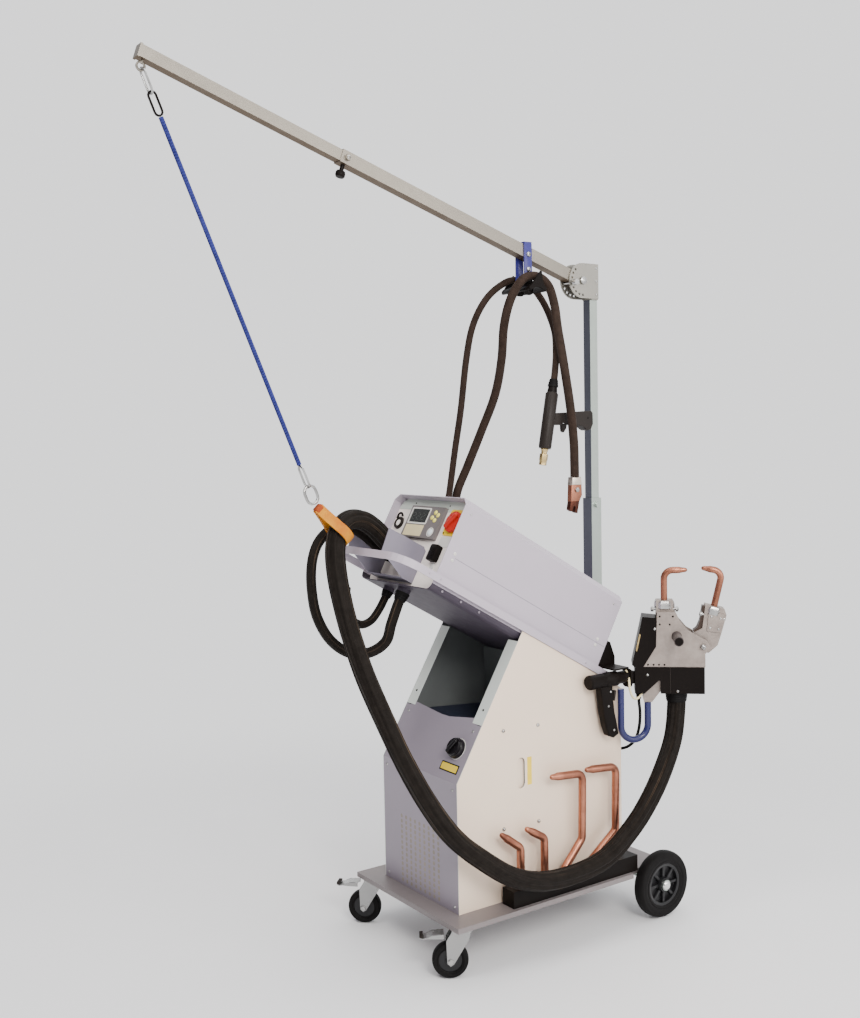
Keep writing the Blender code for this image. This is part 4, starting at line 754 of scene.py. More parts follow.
def repaint_all():
    groups = (
        (LILAC, ("box_tray", "hood")),
        (GUIDE_GREY, ("hose_guide",)),
        # painted shade: the front and rear panels in the darkened lilac
        (PANEL_PAINTED_SHADE, ("front_panel", "rear_panel")),
        (PLATFORM_GREY, ("platform",)),
        (CREAM, ("side_panel_right", "side_panel_left")),
        (PLATE_CREAM, ("front_plate",)),
        (BIN_DARK, ("storage_bin",)),
        (BLUE, ("cable_bracket",)),
        (BOW_BLUE, ("gun_bow",)),
        (ZINC, ("mast_post", "mast_tube", "rear_axle")),
        (BOOM_ZINC, ("boom_tube", "boom_extension")),
        (HEAD_ZINC, ("mast_head",)),
        (FORK_ZINC, ("castor_fork_right", "castor_fork_left", "castor_brake_right",
                     "castor_brake_left")),
        (STEEL, ("index_pin", "top_carabiner", "lower_carabiner")),
        (GUN_METAL, ("gun_frame", "gun_arm", "gun_cylinder")),
        (COPPER, ("spare_arm_1", "spare_arm_2", "spare_arm_3", "spare_arm_4", "fixed_electrode",
                  "moving_electrode", "earth_clamp")),
        (RUBBER, ("rear_wheel_right", "rear_wheel_left", "castor_wheel_right",
                  "castor_wheel_left")),
        (BLACK, ("regulator_knob", "rope_clip", "stud_gun", "arm_holder", "gun_body", "gun_grip",
                 "gun_support")),
        (DARK_GREY, ("stud_trigger", "gun_trigger")),
        (GREY, ("display_module",)),
        (RED, ("switch_knob",)),
        (WHITE, ("enter_button",)),
        (LEATHER, ("hose_sling",)),
        (IRON, ("transformer",)),
    )
    for material, nodes in groups:
        for node in nodes:
            repaint(node, material)
    into_box = BOX.inverted() @ MACHINE
    # painted shade on the tray below the rim
    paint_faces("box_tray", TRAY_SHADE, lambda p, n: (into_box @ p).z < -0.0225)
    inner = CABINET_WIDTH / 2 - 0.0035
    for side, hand in HANDS:
        # the inner walls are painted a dark grey-green
        paint_faces("side_panel_" + hand, DARK_WALL_GREY,
                    lambda p, n: abs(p.x) < inner + 0.0025 and n.x * side < -0.9)
        paint_faces("side_panel_" + hand, FLANGE_PALE,
                    lambda p, n: abs(p.x) < inner + 0.003 and n.y < -0.5)
    paint_faces("storage_bin", DARK_WALL_GREY, lambda p, n: abs(n.y) > 0.9)
    # painted shade on the mast's forward faces
    for node in ("mast_post", "mast_tube"):
        paint_faces(node, ZINC_SHADE, lambda p, n: n.y < -0.9)
    # painted shade on the boom's underside
    for node in ("boom_tube", "boom_extension"):
        paint_faces(node, BOOM_SHADE, lambda p, n: n.z < -0.8)


# ------------------------------------------------------------------ cabinet details
def make_cabinet_details():
    front = [(side * 0.165, z) for side in (-1, 1) for z in (0.17, 0.497)]
    screws("front_screws", FRONT_FACE, front, 0.004, 0.0024)
    screws("slope_screws", SLOPE_FACE, [(-0.16, 0.15), (0.16, 0.15)], 0.004, 0.0024)
    screws("flange_screws", moved(SLOPE_FACE, 0, 0, 0.0002),
           [(side * 0.164, s) for side in (-1, 1) for s in (0.215, 0.64)], 0.0034, 0.0018,
           material=BLACK)
    side = [(0.218, 0.64), (0.343, 0.637), (0.215, 0.361), (0.342, 0.358)]
    for (up, hand), plane in zip(HANDS, (RIGHT_FACE, LEFT_FACE)):
        screws("side_screws_" + hand, plane, [(y, up * z) for y, z in side], 0.0055, 0.0055)
    columns, rows = 9, 13
    slots = [(-0.092 + 0.184 * i / (columns - 1), 0.162 + 0.206 * (k + 0.5) / rows)
             for i in range(columns) for k in range(rows)]
    pads("grille_slots", SLOT_BROWN, FRONT_FACE,
         [rounded_loop(x, z, 0.01, 0.0115, 0.0045, 4) for x, z in slots], -0.0004, 0.0003)
    pads("label_frame", DARK_GREY, SLOPE_FACE, [rounded_loop(0.126, 0.036, 0.08, 0.026, 0.002)],
         -0.0004, 0.0008)
    pads("label_yellow", LABEL_YELLOW, SLOPE_FACE,
         [rounded_loop(0.126, 0.036, 0.072, 0.019, 0.001)], 0.0006, 0.0013)
    pads("knob_ring", LABEL, SLOPE_FACE, [arc(0.128, 0.091, 0.031, 0, 354, 59)], -0.0004, 0.0006)
    centre = moved(SLOPE_FACE, 0.128, 0.091, 0.0)

    def knob(bm):
        add_turned(bm, [(0.0292, 0.0007), (0.0292, 0.01), (0.028, 0.014), (0.0262, 0.015),
                        (0.0262, 0.019), (0.0235, 0.0215)], steps=64)
        add_box(bm, (0.011, 0.046, 0.01), (0, 0, 0.0255), 0.0045, 4,
                Matrix.Rotation(math.radians(-28.0), 3, "Z"))
    piece("regulator_grip", KNOB_BLACK, "regulator", centre, knob, 40.0, ("regulator_knob",))
    pads("side_label", LABEL_YELLOW, RIGHT_FACE, [rounded_loop(0.311, 0.5105, 0.016, 0.08, 0.001)],
         -0.0003, 0.0006)
    pads("slot_backing", CREAM, RIGHT_FACE, [rounded_loop(0.28, 0.509, 0.034, 0.096, 0.008)],
         -0.0095, -0.0075)
    top = 0.17
    pads("front_panel_wings", PANEL_PAINTED_SHADE, SLOPE_FACE,
         [[(-0.162, top - 0.002), (-0.162, top + 0.014), (0.02, top - 0.002)],
          [(0.02, top - 0.002), (0.162, top + 0.02), (0.162, top - 0.002)]], -0.0024, -0.0002,
         bevel=0.0)


# ------------------------------------------------------------------ control box
def plate_outline():
    """The control plate's outline, with larger corners at its top."""
    half, low, high, bottom, top = 0.1752, -0.0452, 0.2242, 0.022, 0.033
    return (arc(half - bottom, low + bottom, bottom, -90, 90, 8)
            + arc(half - top, high - top, top, 0, 90, 10)
            + arc(top - half, high - top, top, 90, 90, 10)
            + arc(bottom - half, low + bottom, bottom, 180, 90, 8))


def make_front_plate():
    """The cream plate with a grey-green painted shadow of the hood along its top, glands and
    connectors.
    """
    pads("control_plate", PLATE_CREAM, PANEL, [plate_outline()], -0.002, 0.0, bevel=0.0005,
         stands_for=("front_plate",))
    # painted shadow of the hood across the top of the plate
    high, half, top = 0.2238, 0.1746, 0.033
    shadow_strip = (arc(half - top, high - top, top, 0, 90, 10) + arc(top - half, high - top, top, 90, 90, 10))
    pads("plate_hood_painted_shadow", PLATE_HOOD_SHADOW, PANEL, [shadow_strip], -0.0003, 0.001, bevel=0.0006)
    screws("plate_screws", PANEL, [(-0.1, 0.212), (0.069, 0.21)], 0.003, 0.0022, material=DARK_GREY)
    screws("plate_low_screws", PANEL, [(0.15, -0.02), (0.15, 0.03)], 0.0028, 0.0015, material=DARK_GREY)
    for name, x, y, radius in (("main_gland", -0.045, 0.048, 0.034),
                               ("return_gland", -0.104, 0.04, 0.019)):
        turned(name, BLACK, "machine", PANEL,
               [(radius, -0.0005), (radius, 0.007), (radius - 0.002, 0.0098)], (x, y, 0), 40)
    connector = (-0.143, 0.145, 0)
    turned("ring_connector", DARK_GREY, "machine", PANEL,
           [(0.019, 0.0), (0.019, 0.003), (0.0175, 0.0075), (0.015, 0.0085), (0.0125, 0.0075),
            (0.012, 0.002)], connector, 40)
    turned("ring_contacts", PLATE_CREAM, "machine", PANEL,
           [(0.0095, 0.001), (0.009, 0.006), (0.0, 0.007)], connector, 24)
    lever = [Vector((-0.157, 0.158, 0.006)), Vector((-0.15, 0.17, 0.01)),
             Vector((-0.137, 0.173, 0.011)), Vector((-0.128, 0.166, 0.01))]
    piece("connector_lever", BLACK, "machine", PANEL,
          lambda bm: add_tube(bm, smooth(lever, 0.004), 0.0032, 12))
    pads("switch_label", LABEL, PANEL, [rounded_loop(0.113, 0.101, 0.052, 0.03, 0.003)],
         -0.0003, 0.0008)

    def plug(bm):
        add_outline(bm, rounded_loop(0.101, 0.063, 0.034, 0.048, 0.006), -0.0005, 0.02, 0.003)
        for k in range(5):
            add_box(bm, (0.026, 0.0022, 0.0014), (0.101, 0.051 + 0.006 * k, 0.0203), 0.0005)
    piece("panel_plug", BLACK, "machine", PANEL, plug)
    pads("plug_tab", LABEL, PANEL, [rounded_loop(0.101, 0.022, 0.018, 0.03, 0.003)], -0.0003, 0.0012)

    def low_sockets(bm):
        for x, y, radius in ((-0.15, -0.012, 0.0065), (-0.13, -0.018, 0.005)):
            add_turned(bm, [(radius, -0.0003), (radius, 0.003), (0.7 * radius, 0.0036),
                            (0.6 * radius, 0.001)], (x, y, 0), 24)
    piece("low_sockets", BLACK, "machine", PANEL, low_sockets)


def make_display():
    """The display unit: a dark glass, a pale label, four yellow keys and the push button's rim."""
    plane = moved(PANEL, 0, 0, 0.0123)
    pads("display_glass", SCREEN, plane, [rounded_loop(-0.04, 0.169, 0.083, 0.041, 0.002)],
         -0.0019, -0.0008)

    def frame_ring(bm):
        outer = rounded_loop(-0.04, 0.169, 0.093, 0.051, 0.004)
        add_ring(bm, outer, rounded_loop(-0.04, 0.169, 0.084, 0.042, 0.002), -0.0003, 0.0009)
    piece("display_frame", LABEL, "machine", plane, frame_ring)
    digits = []
    for column in range(3):
        x = -0.068 + 0.022 * column
        digits += [rounded_loop(x, y, 0.01, 0.0016, 0.0006, 2) for y in (0.158, 0.168, 0.178)]
        digits += [rounded_loop(x + dx, 0.173 - 0.01 * (dx < 0), 0.0016, 0.007, 0.0006, 2)
                   for dx in (-0.0065, 0.0065)]
    pads("display_segments", SCREEN_LINE, plane, digits, -0.0012, -0.0006, bevel=0.0)
    pads("display_label", LABEL_BEIGE, plane, [rounded_loop(-0.042, 0.1235, 0.088, 0.034, 0.002)],
         -0.0003, 0.0006)

    def keys(bm):
        for k in range(4):
            turn = math.radians(90 * k + 20)
            add_turned(bm, [(0.0068, -0.0003), (0.0068, 0.0012), (0.0054, 0.0024), (0.0, 0.0029)],
                       (0.037 + 0.0125 * math.cos(turn), 0.17 + 0.0125 * math.sin(turn), 0), 24)
    piece("display_keys", KEY_YELLOW, "machine", plane, keys, 50.0)

    def rim(bm):
        loop = arc(0.044, 0.122, 0.014, 0, 350, 35)
        add_ring(bm, loop, around(loop, 0.044, 0.122, 0.0112), -0.0003, 0.0012)
    piece("button_rim", LABEL, "machine", plane, rim)
    turned("enter_cap", WHITE, "panel_button", plane,
           [(0.0098, -0.002), (0.0098, 0.0012), (0.0085, 0.0022), (0.0, 0.003)],
           (0.044, 0.122, 0), 32, 50.0, ("enter_button",))


def make_main_switch():
    plane = moved(PANEL, 0.125, 0.16, 0.0)

    def pad(bm):
        loop = rounded_loop(0, 0, 0.074, 0.078, 0.008)
        add_ring(bm, loop, around(loop, 0, 0, 0.03), -0.0005, 0.003)
    piece("switch_pad", YELLOW, "machine", plane, pad)
    screws("switch_marks", moved(plane, 0, 0, 0.003),
           [(0.0315, 0.0), (0.0315, -0.0325), (-0.0315, -0.0325)], 0.0026, 0.0012,
           material=BLACK)

    def knob(bm):
        turns = [math.tau * k / 96 for k in range(96)]
        rim = [(t, 0.0312 + 0.0007 * math.cos(12 * t)) for t in turns]
        loop = [(reach * math.cos(t), reach * math.sin(t)) for t, reach in rim]
        add_outline(bm, loop, 0.0034, 0.013, 0.0025, 3)
        turn = Matrix.Rotation(math.radians(-38.0), 3, "Z")
        add_box(bm, (0.013, 0.054, 0.013), (0, 0, 0.017), 0.0045, 4, turn)
        add_box(bm, (0.003, 0.013, 0.0012), turn @ Vector((0, 0.018, 0.0236)), 0.0004, 1, turn)
    piece("main_switch_knob", RED, "main_switch", plane, knob, 40.0, ("switch_knob",))


def make_box_details():
    for (up, hand), plane in zip(HANDS, (HOOD_RIGHT, HOOD_LEFT)):
        pads("hood_seam_" + hand, SEAM, plane,
             [[(0.036, up * 0.0612), (0.658, up * 0.0612), (0.658, up * 0.0624),
               (0.036, up * 0.0624)][::up]], -0.0002, 0.0003, bevel=0.0)
        screws("hood_screws_" + hand, plane,
               [(y, up * z) for y in (0.03, 0.622) for z in (0.053, 0.072)], 0.005, 0.003,
               material=LABEL)
        screws("hood_top_screws_" + hand, plane, [(y, up * 0.19) for y in (0.03, 0.632)], 0.0032, 0.002)
    tray = moved(BOX, 0.191, 0, 0) @ RIGHT_PLANE
    screws("rim_screws", tray, [(-0.03, -0.01), (0.01, -0.01), (0.6, -0.01)], 0.0036, 0.0022,
           material=LILAC)
    under = moved(BOX, 0.177, 0, 0) @ RIGHT_PLANE
    # the screws under the tray take the panels' painted-shade lilac
    screws("tray_screws", under, [(y, -0.034) for y in (0.04, 0.11, 0.18, 0.56)], 0.0034,
           0.0018, material=PANEL_PAINTED_SHADE)


# ------------------------------------------------------------------ strain reliefs
def make_boot(name, start, direction, inner, length, body="machine"):
    """A tapered rubber sleeve with ribs, where a cord leaves its gland or tool."""
    def build(bm):
        ribs = max(3, round(length / 0.007))
        pitch = length * 0.86 / ribs
        profile = [(inner + 0.0004, 0.0), (inner + 0.005, 0.0)]
        for k in range(ribs):
            thick = inner + 0.0048 - 0.0032 * k / ribs
            low = length * 0.12 + pitch * k
            profile += [(thick, low), (thick, low + 0.5 * pitch),
                        (thick - 0.0012, low + 0.58 * pitch), (thick - 0.0012, low + 0.94 * pitch)]
        profile += [(inner + 0.0016, length), (inner + 0.0004, length)]
        add_turned(bm, profile, start, 32, turn_to(direction), ring=True)
    piece(name, RUBBER, body, MACHINE, build, 50.0)


def make_boots():
    """A boot at each cord's end, laid along the first stretch of its route."""
    for name, route, inner, length, body in (
            ("hose_boot_gun", HOSE_ROUTE, 0.0285, 0.028, "machine"),
            ("hose_boot_panel", HOSE_ROUTE[::-1], 0.0285, 0.026, "machine"),
            ("return_boot_panel", RETURN_ROUTE, 0.0155, 0.024, "machine"),
            ("return_boot_tray", RETURN_ROUTE[::-1], 0.0155, 0.024, "machine"),
            ("small_boot_tray", SMALL_RETURN_ROUTE[::-1], 0.012, 0.018, "machine"),
            ("stud_boot_socket", STUD_ROUTE, 0.0112, 0.014, "cable_drop"),
            ("earth_boot_socket", EARTH_ROUTE, 0.0142, 0.016, "cable_drop"),
            ("stud_boot_gun", STUD_ROUTE[::-1], 0.0108, 0.022, "cable_drop"),
            ("control_boot", CONTROL_ROUTE, 0.0048, 0.02, "machine")):
        start, after = Vector(route[0]), Vector(route[1])
        make_boot(name, start, after - start, inner, length, body)
    low, high = Vector((0.075, 0.5082, 1.584)), Vector((0.075, 0.5114, 1.6012))
    turned("stud_neck", BLACK, "cable_drop", MACHINE,
           [(0.015, -0.002), (0.015, 0.004), (0.0128, 0.0175)], low, rotation=turn_to(high - low))


# ------------------------------------------------------------------ wheels
def wheel_tyre(radius, half):
    """The closed profile of a solid tyre with a ribbed side wall."""
    side = [(0.62, 0.55), (0.64, 0.86), (0.7, 0.97), (0.73, 0.9), (0.76, 1.0), (0.84, 1.02),
            (0.88, 0.96), (0.91, 1.0), (0.95, 0.9), (0.98, 0.66), (0.995, 0.34)]
    profile = [(radius * r, half * h) for r, h in side] + [(radius, 0.0)]
    return profile + [(r, -h) for r, h in reversed(profile[:-1])]


def add_lathe(bm, profile, centre=(0, 0, 0), steps=48, rotation=None):
    """A closed profile of (radius, height) turned into a ring."""
    add_turned(bm, profile, centre, steps, rotation, ring=True)


def make_rear_wheels():
    for side, hand in HANDS:
        plane = moved(MACHINE, side * WHEEL_X, *AXLE) @ Matrix.Rotation(side * math.pi / 2, 4, "Y")
        body = "wheel_" + hand
        piece("tyre_" + hand, RUBBER, body, plane,
              lambda bm: add_lathe(bm, wheel_tyre(0.1, 0.019), steps=96), 40.0,
              ("rear_wheel_" + hand,))

        def hub(bm):
            add_lathe(bm, [(0.01, -0.0185), (0.02, -0.0185), (0.023, -0.012),
                           (0.023, 0.012), (0.02, 0.018), (0.01, 0.018)])
            add_lathe(bm, [(0.055, -0.013), (0.0632, -0.015), (0.0632, 0.015),
                           (0.055, 0.013)], steps=64)
            add_lathe(bm, [(0.02, -0.0015), (0.057, -0.0015), (0.057, 0.0015), (0.02, 0.0015)])
            for k in range(8):
                turn = Matrix.Rotation(math.tau * k / 8, 3, "Z")
                add_box(bm, (0.038, 0.0085, 0.022), turn @ Vector((0.038, 0, 0)), 0.0018, 2, turn)
        piece("hub_" + hand, HUB_BLACK, body, plane, hub)
        turned("hub_cap_" + hand, CHROME, "machine", plane,
               [(0.0155, 0.0178), (0.0155, 0.0215), (0.0135, 0.0262), (0.008, 0.0292),
                (0.0, 0.0302)], steps=40, angle=50.0)


def castors():
    """Each castor's hand and the frame of its swivel, turned as in the photo."""
    return [(hand, moved(MACHINE, side * 0.221, 0.044, 0)
             @ Matrix.Rotation(math.radians(turn), 4, "Z"))
            for (side, hand), turn in zip(HANDS, (-33.0, -46.0))]


def make_castors():
    for hand, swivel in castors():
        axle = moved(swivel, 0, -0.037, 0.05) @ Matrix.Rotation(math.pi / 2, 4, "Y")
        piece("castor_tyre_" + hand, RUBBER, "castor_roller_" + hand, axle,
              lambda bm: add_lathe(bm, wheel_tyre(0.05, 0.015), steps=64), 40.0,
              ("castor_wheel_" + hand,))
        piece("castor_hub_" + hand, HUB_BLACK, "castor_roller_" + hand, axle,
              lambda bm: add_lathe(bm, [(0.0058, -0.017), (0.012, -0.017), (0.014, -0.01),
                                        (0.033, -0.01), (0.033, 0.01), (0.014, 0.01),
                                        (0.012, 0.017), (0.0058, 0.017)]))

        def hardware(bm):
            for sign in (-1, 1):
                add_turned(bm, [(0.0085, 0.0225), (0.0085, 0.0262), (0.0072, 0.0275)], steps=6,
                           rotation=turned_over(sign))
        piece("castor_nuts_" + hand, STEEL, "castor_" + hand, axle, hardware)
        piece("castor_race_" + hand, FORK_ZINC, "castor_" + hand, swivel,
              lambda bm: add_lathe(bm, [(0.02, 0.1372), (0.0265, 0.1372), (0.0285, 0.14),
                                        (0.0285, 0.145), (0.0265, 0.1475), (0.02, 0.1475)]), 50.0)


# ------------------------------------------------------------------ copper arms
def arm_path(points, radii, tip):
    """A bent path whose last stretch, of the length tip, is cut into ten short steps."""
    path = filleted([Vector(p) for p in points], radii, 10)
    end, before = path[-1], path[-2]
    along = (end - before).normalized()
    path[-1:] = [end - along * (tip * (1 - k / 10)) for k in range(11)]
    return path


def make_arm(name, points, radii, radius, matrix, body, node, point=0.45):
    """A copper arm whose last stretch narrows to a rounded electrode tip."""
    path = arm_path(points, radii, 2.4 * radius)
    total = path_length(path)

    def reach(share, along):
        left = total - along
        if left > 2.4 * radius:
            return radius
        if left > 0.9 * radius:
            return radius * (1.0 - (1 - point - 0.25) * (1 - (left / radius - 0.9) / 1.5) ** 0.7)
        return radius * (point + 0.25) * math.sqrt(max(0.04, 1 - (1 - left / (0.9 * radius)) ** 2))
    piece(name, COPPER, body, matrix, lambda bm: add_tube(bm, path, reach, 28), 60.0, (node,))


def make_copper_arms():
    feet = (0.246, 0.333, 0.405, 0.505)
    shapes = (((0.246, 0.311), (0.175, 0.365)), ((0.333, 0.321), (0.264, 0.362)),
              ((0.405, 0.212), (0.476, 0.288), (0.48, 0.48), (0.357, 0.49)),
              ((0.505, 0.212), (0.609, 0.285), (0.612, 0.476), (0.49, 0.487)))
    for number, (foot, shape) in enumerate(zip(feet, shapes), start=1):
        points = [(0.221, foot, 0.1785)] + [(0.221, y, z) for y, z in shape]
        make_arm(f"spare_arm_copper_{number}", points, [0.02] + [0.024] * (len(points) - 3),
                 0.0115, MACHINE, "machine", f"spare_arm_{number}")
    x = -0.039
    make_arm("fixed_electrode_copper", [(x, 0.112, 0.9623), (x, 0.112, 1.05), (x, 0.181, 1.051)],
             [0.026], 0.01, GUN, "machine", "fixed_electrode")
    top = Vector((0.2585, 0.9435))
    out = Vector((0.013, 0.055)).normalized()
    base, bend = top + out * GAP, top + out * 0.106
    make_arm("moving_electrode_copper",
             [(x, base.x, base.y), (x, bend.x, bend.y), (x, 0.221, 1.057)], [0.024], 0.01, GUN,
             "gun_jaw", "moving_electrode")


# ------------------------------------------------------------------ pincer gun
GUN_FACE = GUN @ RIGHT_PLANE
# the profile of the bolts that clamp the electrodes' collars
COLLAR_BOLT = [(0.004, 0.0), (0.004, 0.008), (0.0075, 0.009), (0.0075, 0.0145), (0.005, 0.017),
               (0.0, 0.0175)]


def make_gun_details():
    """Screws, covers and handle of the pincer gun, and the collars that hold its electrodes."""
    screws("gun_plate_screws", GUN_FACE,
           [(0.097, 0.917), (0.135, 0.917), (0.097, 0.893), (0.126, 0.893)]
           + [(0.062 + 0.016 * k, 0.7725) for k in range(4)], 0.003, 0.0012, material=DARK_GREY)
    screws("gun_pivot_bolt", moved(GUN_FACE, 0, 0, 0.0058), [(0.222, 0.827)], 0.0085, 0.006)
    screws("gun_cover_screws", moved(GUN_FACE, 0, 0, 0.002),
           [(0.148, 0.694), (0.06, 0.742), (0.082, 0.88)], 0.0045, 0.0035)
    pads("gun_cover_rib", DARK_GREY, GUN_FACE,
         [[(0.1255, 0.688), (0.1275, 0.688), (0.1275, 0.764), (0.1255, 0.764)]], 0.0018, 0.003,
         bevel=0.0004)
    pads("gun_badge", BRASS, GUN_FACE, [[(0.026, 0.815), (0.03, 0.812), (0.041, 0.862),
                                         (0.037, 0.865)]], 0.0018, 0.0026)
    handle = (0.146, 0.858, 0)
    turned("side_handle_sleeve", HANDLE_GREY, "machine", GUN_FACE,
           [(0.015, 0.0005), (0.015, 0.004), (0.0134, 0.006), (0.0134, 0.08), (0.0142, 0.083),
            (0.0142, 0.089), (0.0125, 0.0908)], handle, 40, 40.0)
    turned("side_handle_cap", BLACK, "machine", GUN_FACE,
           [(0.0118, 0.0905), (0.011, 0.092), (0.0, 0.0922)], handle, 40)

    def fixed_collar(bm):
        add_lathe(bm, [(0.0106, 0.936), (0.03, 0.936), (0.032, 0.9385), (0.032, 0.953),
                       (0.029, 0.96), (0.0106, 0.9625)], (-0.039, 0.1125, 0.0), 8,
                  Matrix.Rotation(math.pi / 8, 3, "Z"))
        for sign in (-1, 1):
            add_turned(bm, COLLAR_BOLT, (-0.022, 0.1125 + sign * 0.024, 0.936), 20,
                       turn_to((0, sign, 0)))
    piece("fixed_arm_collar", STEEL, "machine", GUN, fixed_collar)

    out = Vector((0.0, 0.013, 0.055)).normalized()
    top = Vector((-0.039, 0.2585, 0.9435))

    def moving_collar(bm):
        add_lathe(bm, [(0.0106, -0.026), (0.029, -0.026), (0.031, -0.0235), (0.031, -0.009),
                       (0.0285, -0.002), (0.0106, 0.0)], top, 8,
                  turn_to(out) @ Matrix.Rotation(math.pi / 8, 3, "Z"))
        for sign in (-1, 1):
            across = out.cross(Vector((1, 0, 0))) * sign
            add_turned(bm, COLLAR_BOLT, top - out * 0.03 + across * 0.022
                       + Vector((0.017, 0, 0)), 20, turn_to(across))
    piece("moving_arm_collar", STEEL, "gun_jaw", GUN, moving_collar)
    pads("gun_arm_plate", GUN_METAL, GUN_FACE,
         [[(0.234, 0.872), (0.2735, 0.866), (0.2855, 0.921), (0.24, 0.929)]], -0.0153, -0.0118,
         body="gun_jaw", bevel=0.0008)
    screws("gun_arm_screws", moved(GUN_FACE, 0, 0, -0.0118),
           [(0.2435, 0.882), (0.268, 0.877), (0.248, 0.915), (0.2745, 0.909)], 0.0036, 0.0018,
           body="gun_jaw")
    pads("gun_jaw_shunt", SHUNT, GUN_FACE,
         [[(0.2, 0.864), (0.2185, 0.87), (0.2265, 0.902), (0.23, 0.944), (0.223, 0.946),
           (0.215, 0.9), (0.208, 0.88), (0.196, 0.872)]], -0.056, -0.022, body="gun_jaw",
         bevel=0.001)
    guard = [Vector(p) for p in ((0.2175, 0.66, 0.757), (0.229, 0.66, 0.735),
                                 (0.23, 0.664, 0.7), (0.23, 0.676, 0.675),
                                 (0.232, 0.692, 0.67), (0.238, 0.706, 0.6835))]
    piece("gun_white_strap", LABEL_BEIGE, "machine", MACHINE,
          lambda bm: add_tube(bm, smooth(guard, 0.006), 0.0034, 12))
    pads("neck_flange", BLACK, moved(MACHINE, 0, 0.6672, 0) @ FRONT_PLANE,
         [rounded_loop(0.213, 0.733, 0.04, 0.056, 0.012)], -0.006, 0.0, bevel=0.0015)


def make_gun_grip():
    """A round barrel with a stepped collar, and the pistol grip that bends back below it."""
    def build(bm):
        add_turned(bm, [(0.018, 0.513), (0.0215, 0.517), (0.0215, 0.566), (0.0195, 0.57),
                        (0.0195, 0.574), (0.0222, 0.578), (0.0222, 0.622), (0.0185, 0.627),
                        (0.0185, 0.661)], (0.213, 0, 0.7375), 40, turn_to((0, 1, 0)))
        add_box(bm, (0.033, 0.1, 0.02), (0.213, 0.572, 0.746), 0.004, 3)
        loop = [(0.549, 0.722), (0.556, 0.69), (0.563, 0.64), (0.571, 0.6), (0.582, 0.573),
                (0.602, 0.564), (0.623, 0.574), (0.613, 0.606), (0.604, 0.642), (0.599, 0.68),
                (0.6, 0.722)]
        add_outline(bm, loop, 0.2005, 0.2265, 0.006, 4, 0.6, RIGHT_PLANE)
    piece("gun_grip_moulding", BLACK, "machine", MACHINE, build, 40.0, ("gun_grip",))
    screws("grip_screws", moved(MACHINE, 0.2265, 0, 0) @ RIGHT_PLANE,
           [(0.581, 0.662), (0.602, 0.588), (0.59, 0.704)], 0.0036, 0.0024)
    piece("gun_bow_tube", BOW_BLUE, "machine", MACHINE,
          lambda bm: add_tube(bm, bow_path(), 0.01, 24), 60.0, ("gun_bow",))


def bow_path():
    """Down one leg of the blue bow, round its half circle and up the other leg."""
    left, right = Vector((0.213, 0.643, 0)), Vector((0.2407, 0.7265, 0))
    middle, half = (left + right) / 2, (right - left) / 2
    points = [left + Vector((0, 0, 0.7025))]
    for index in range(25):
        angle = math.pi * index / 24
        points.append(middle - half * math.cos(angle)
                      + Vector((0, 0, 0.59 - half.length * math.sin(angle))))
    return points + [right + Vector((0, 0, 0.6562))]


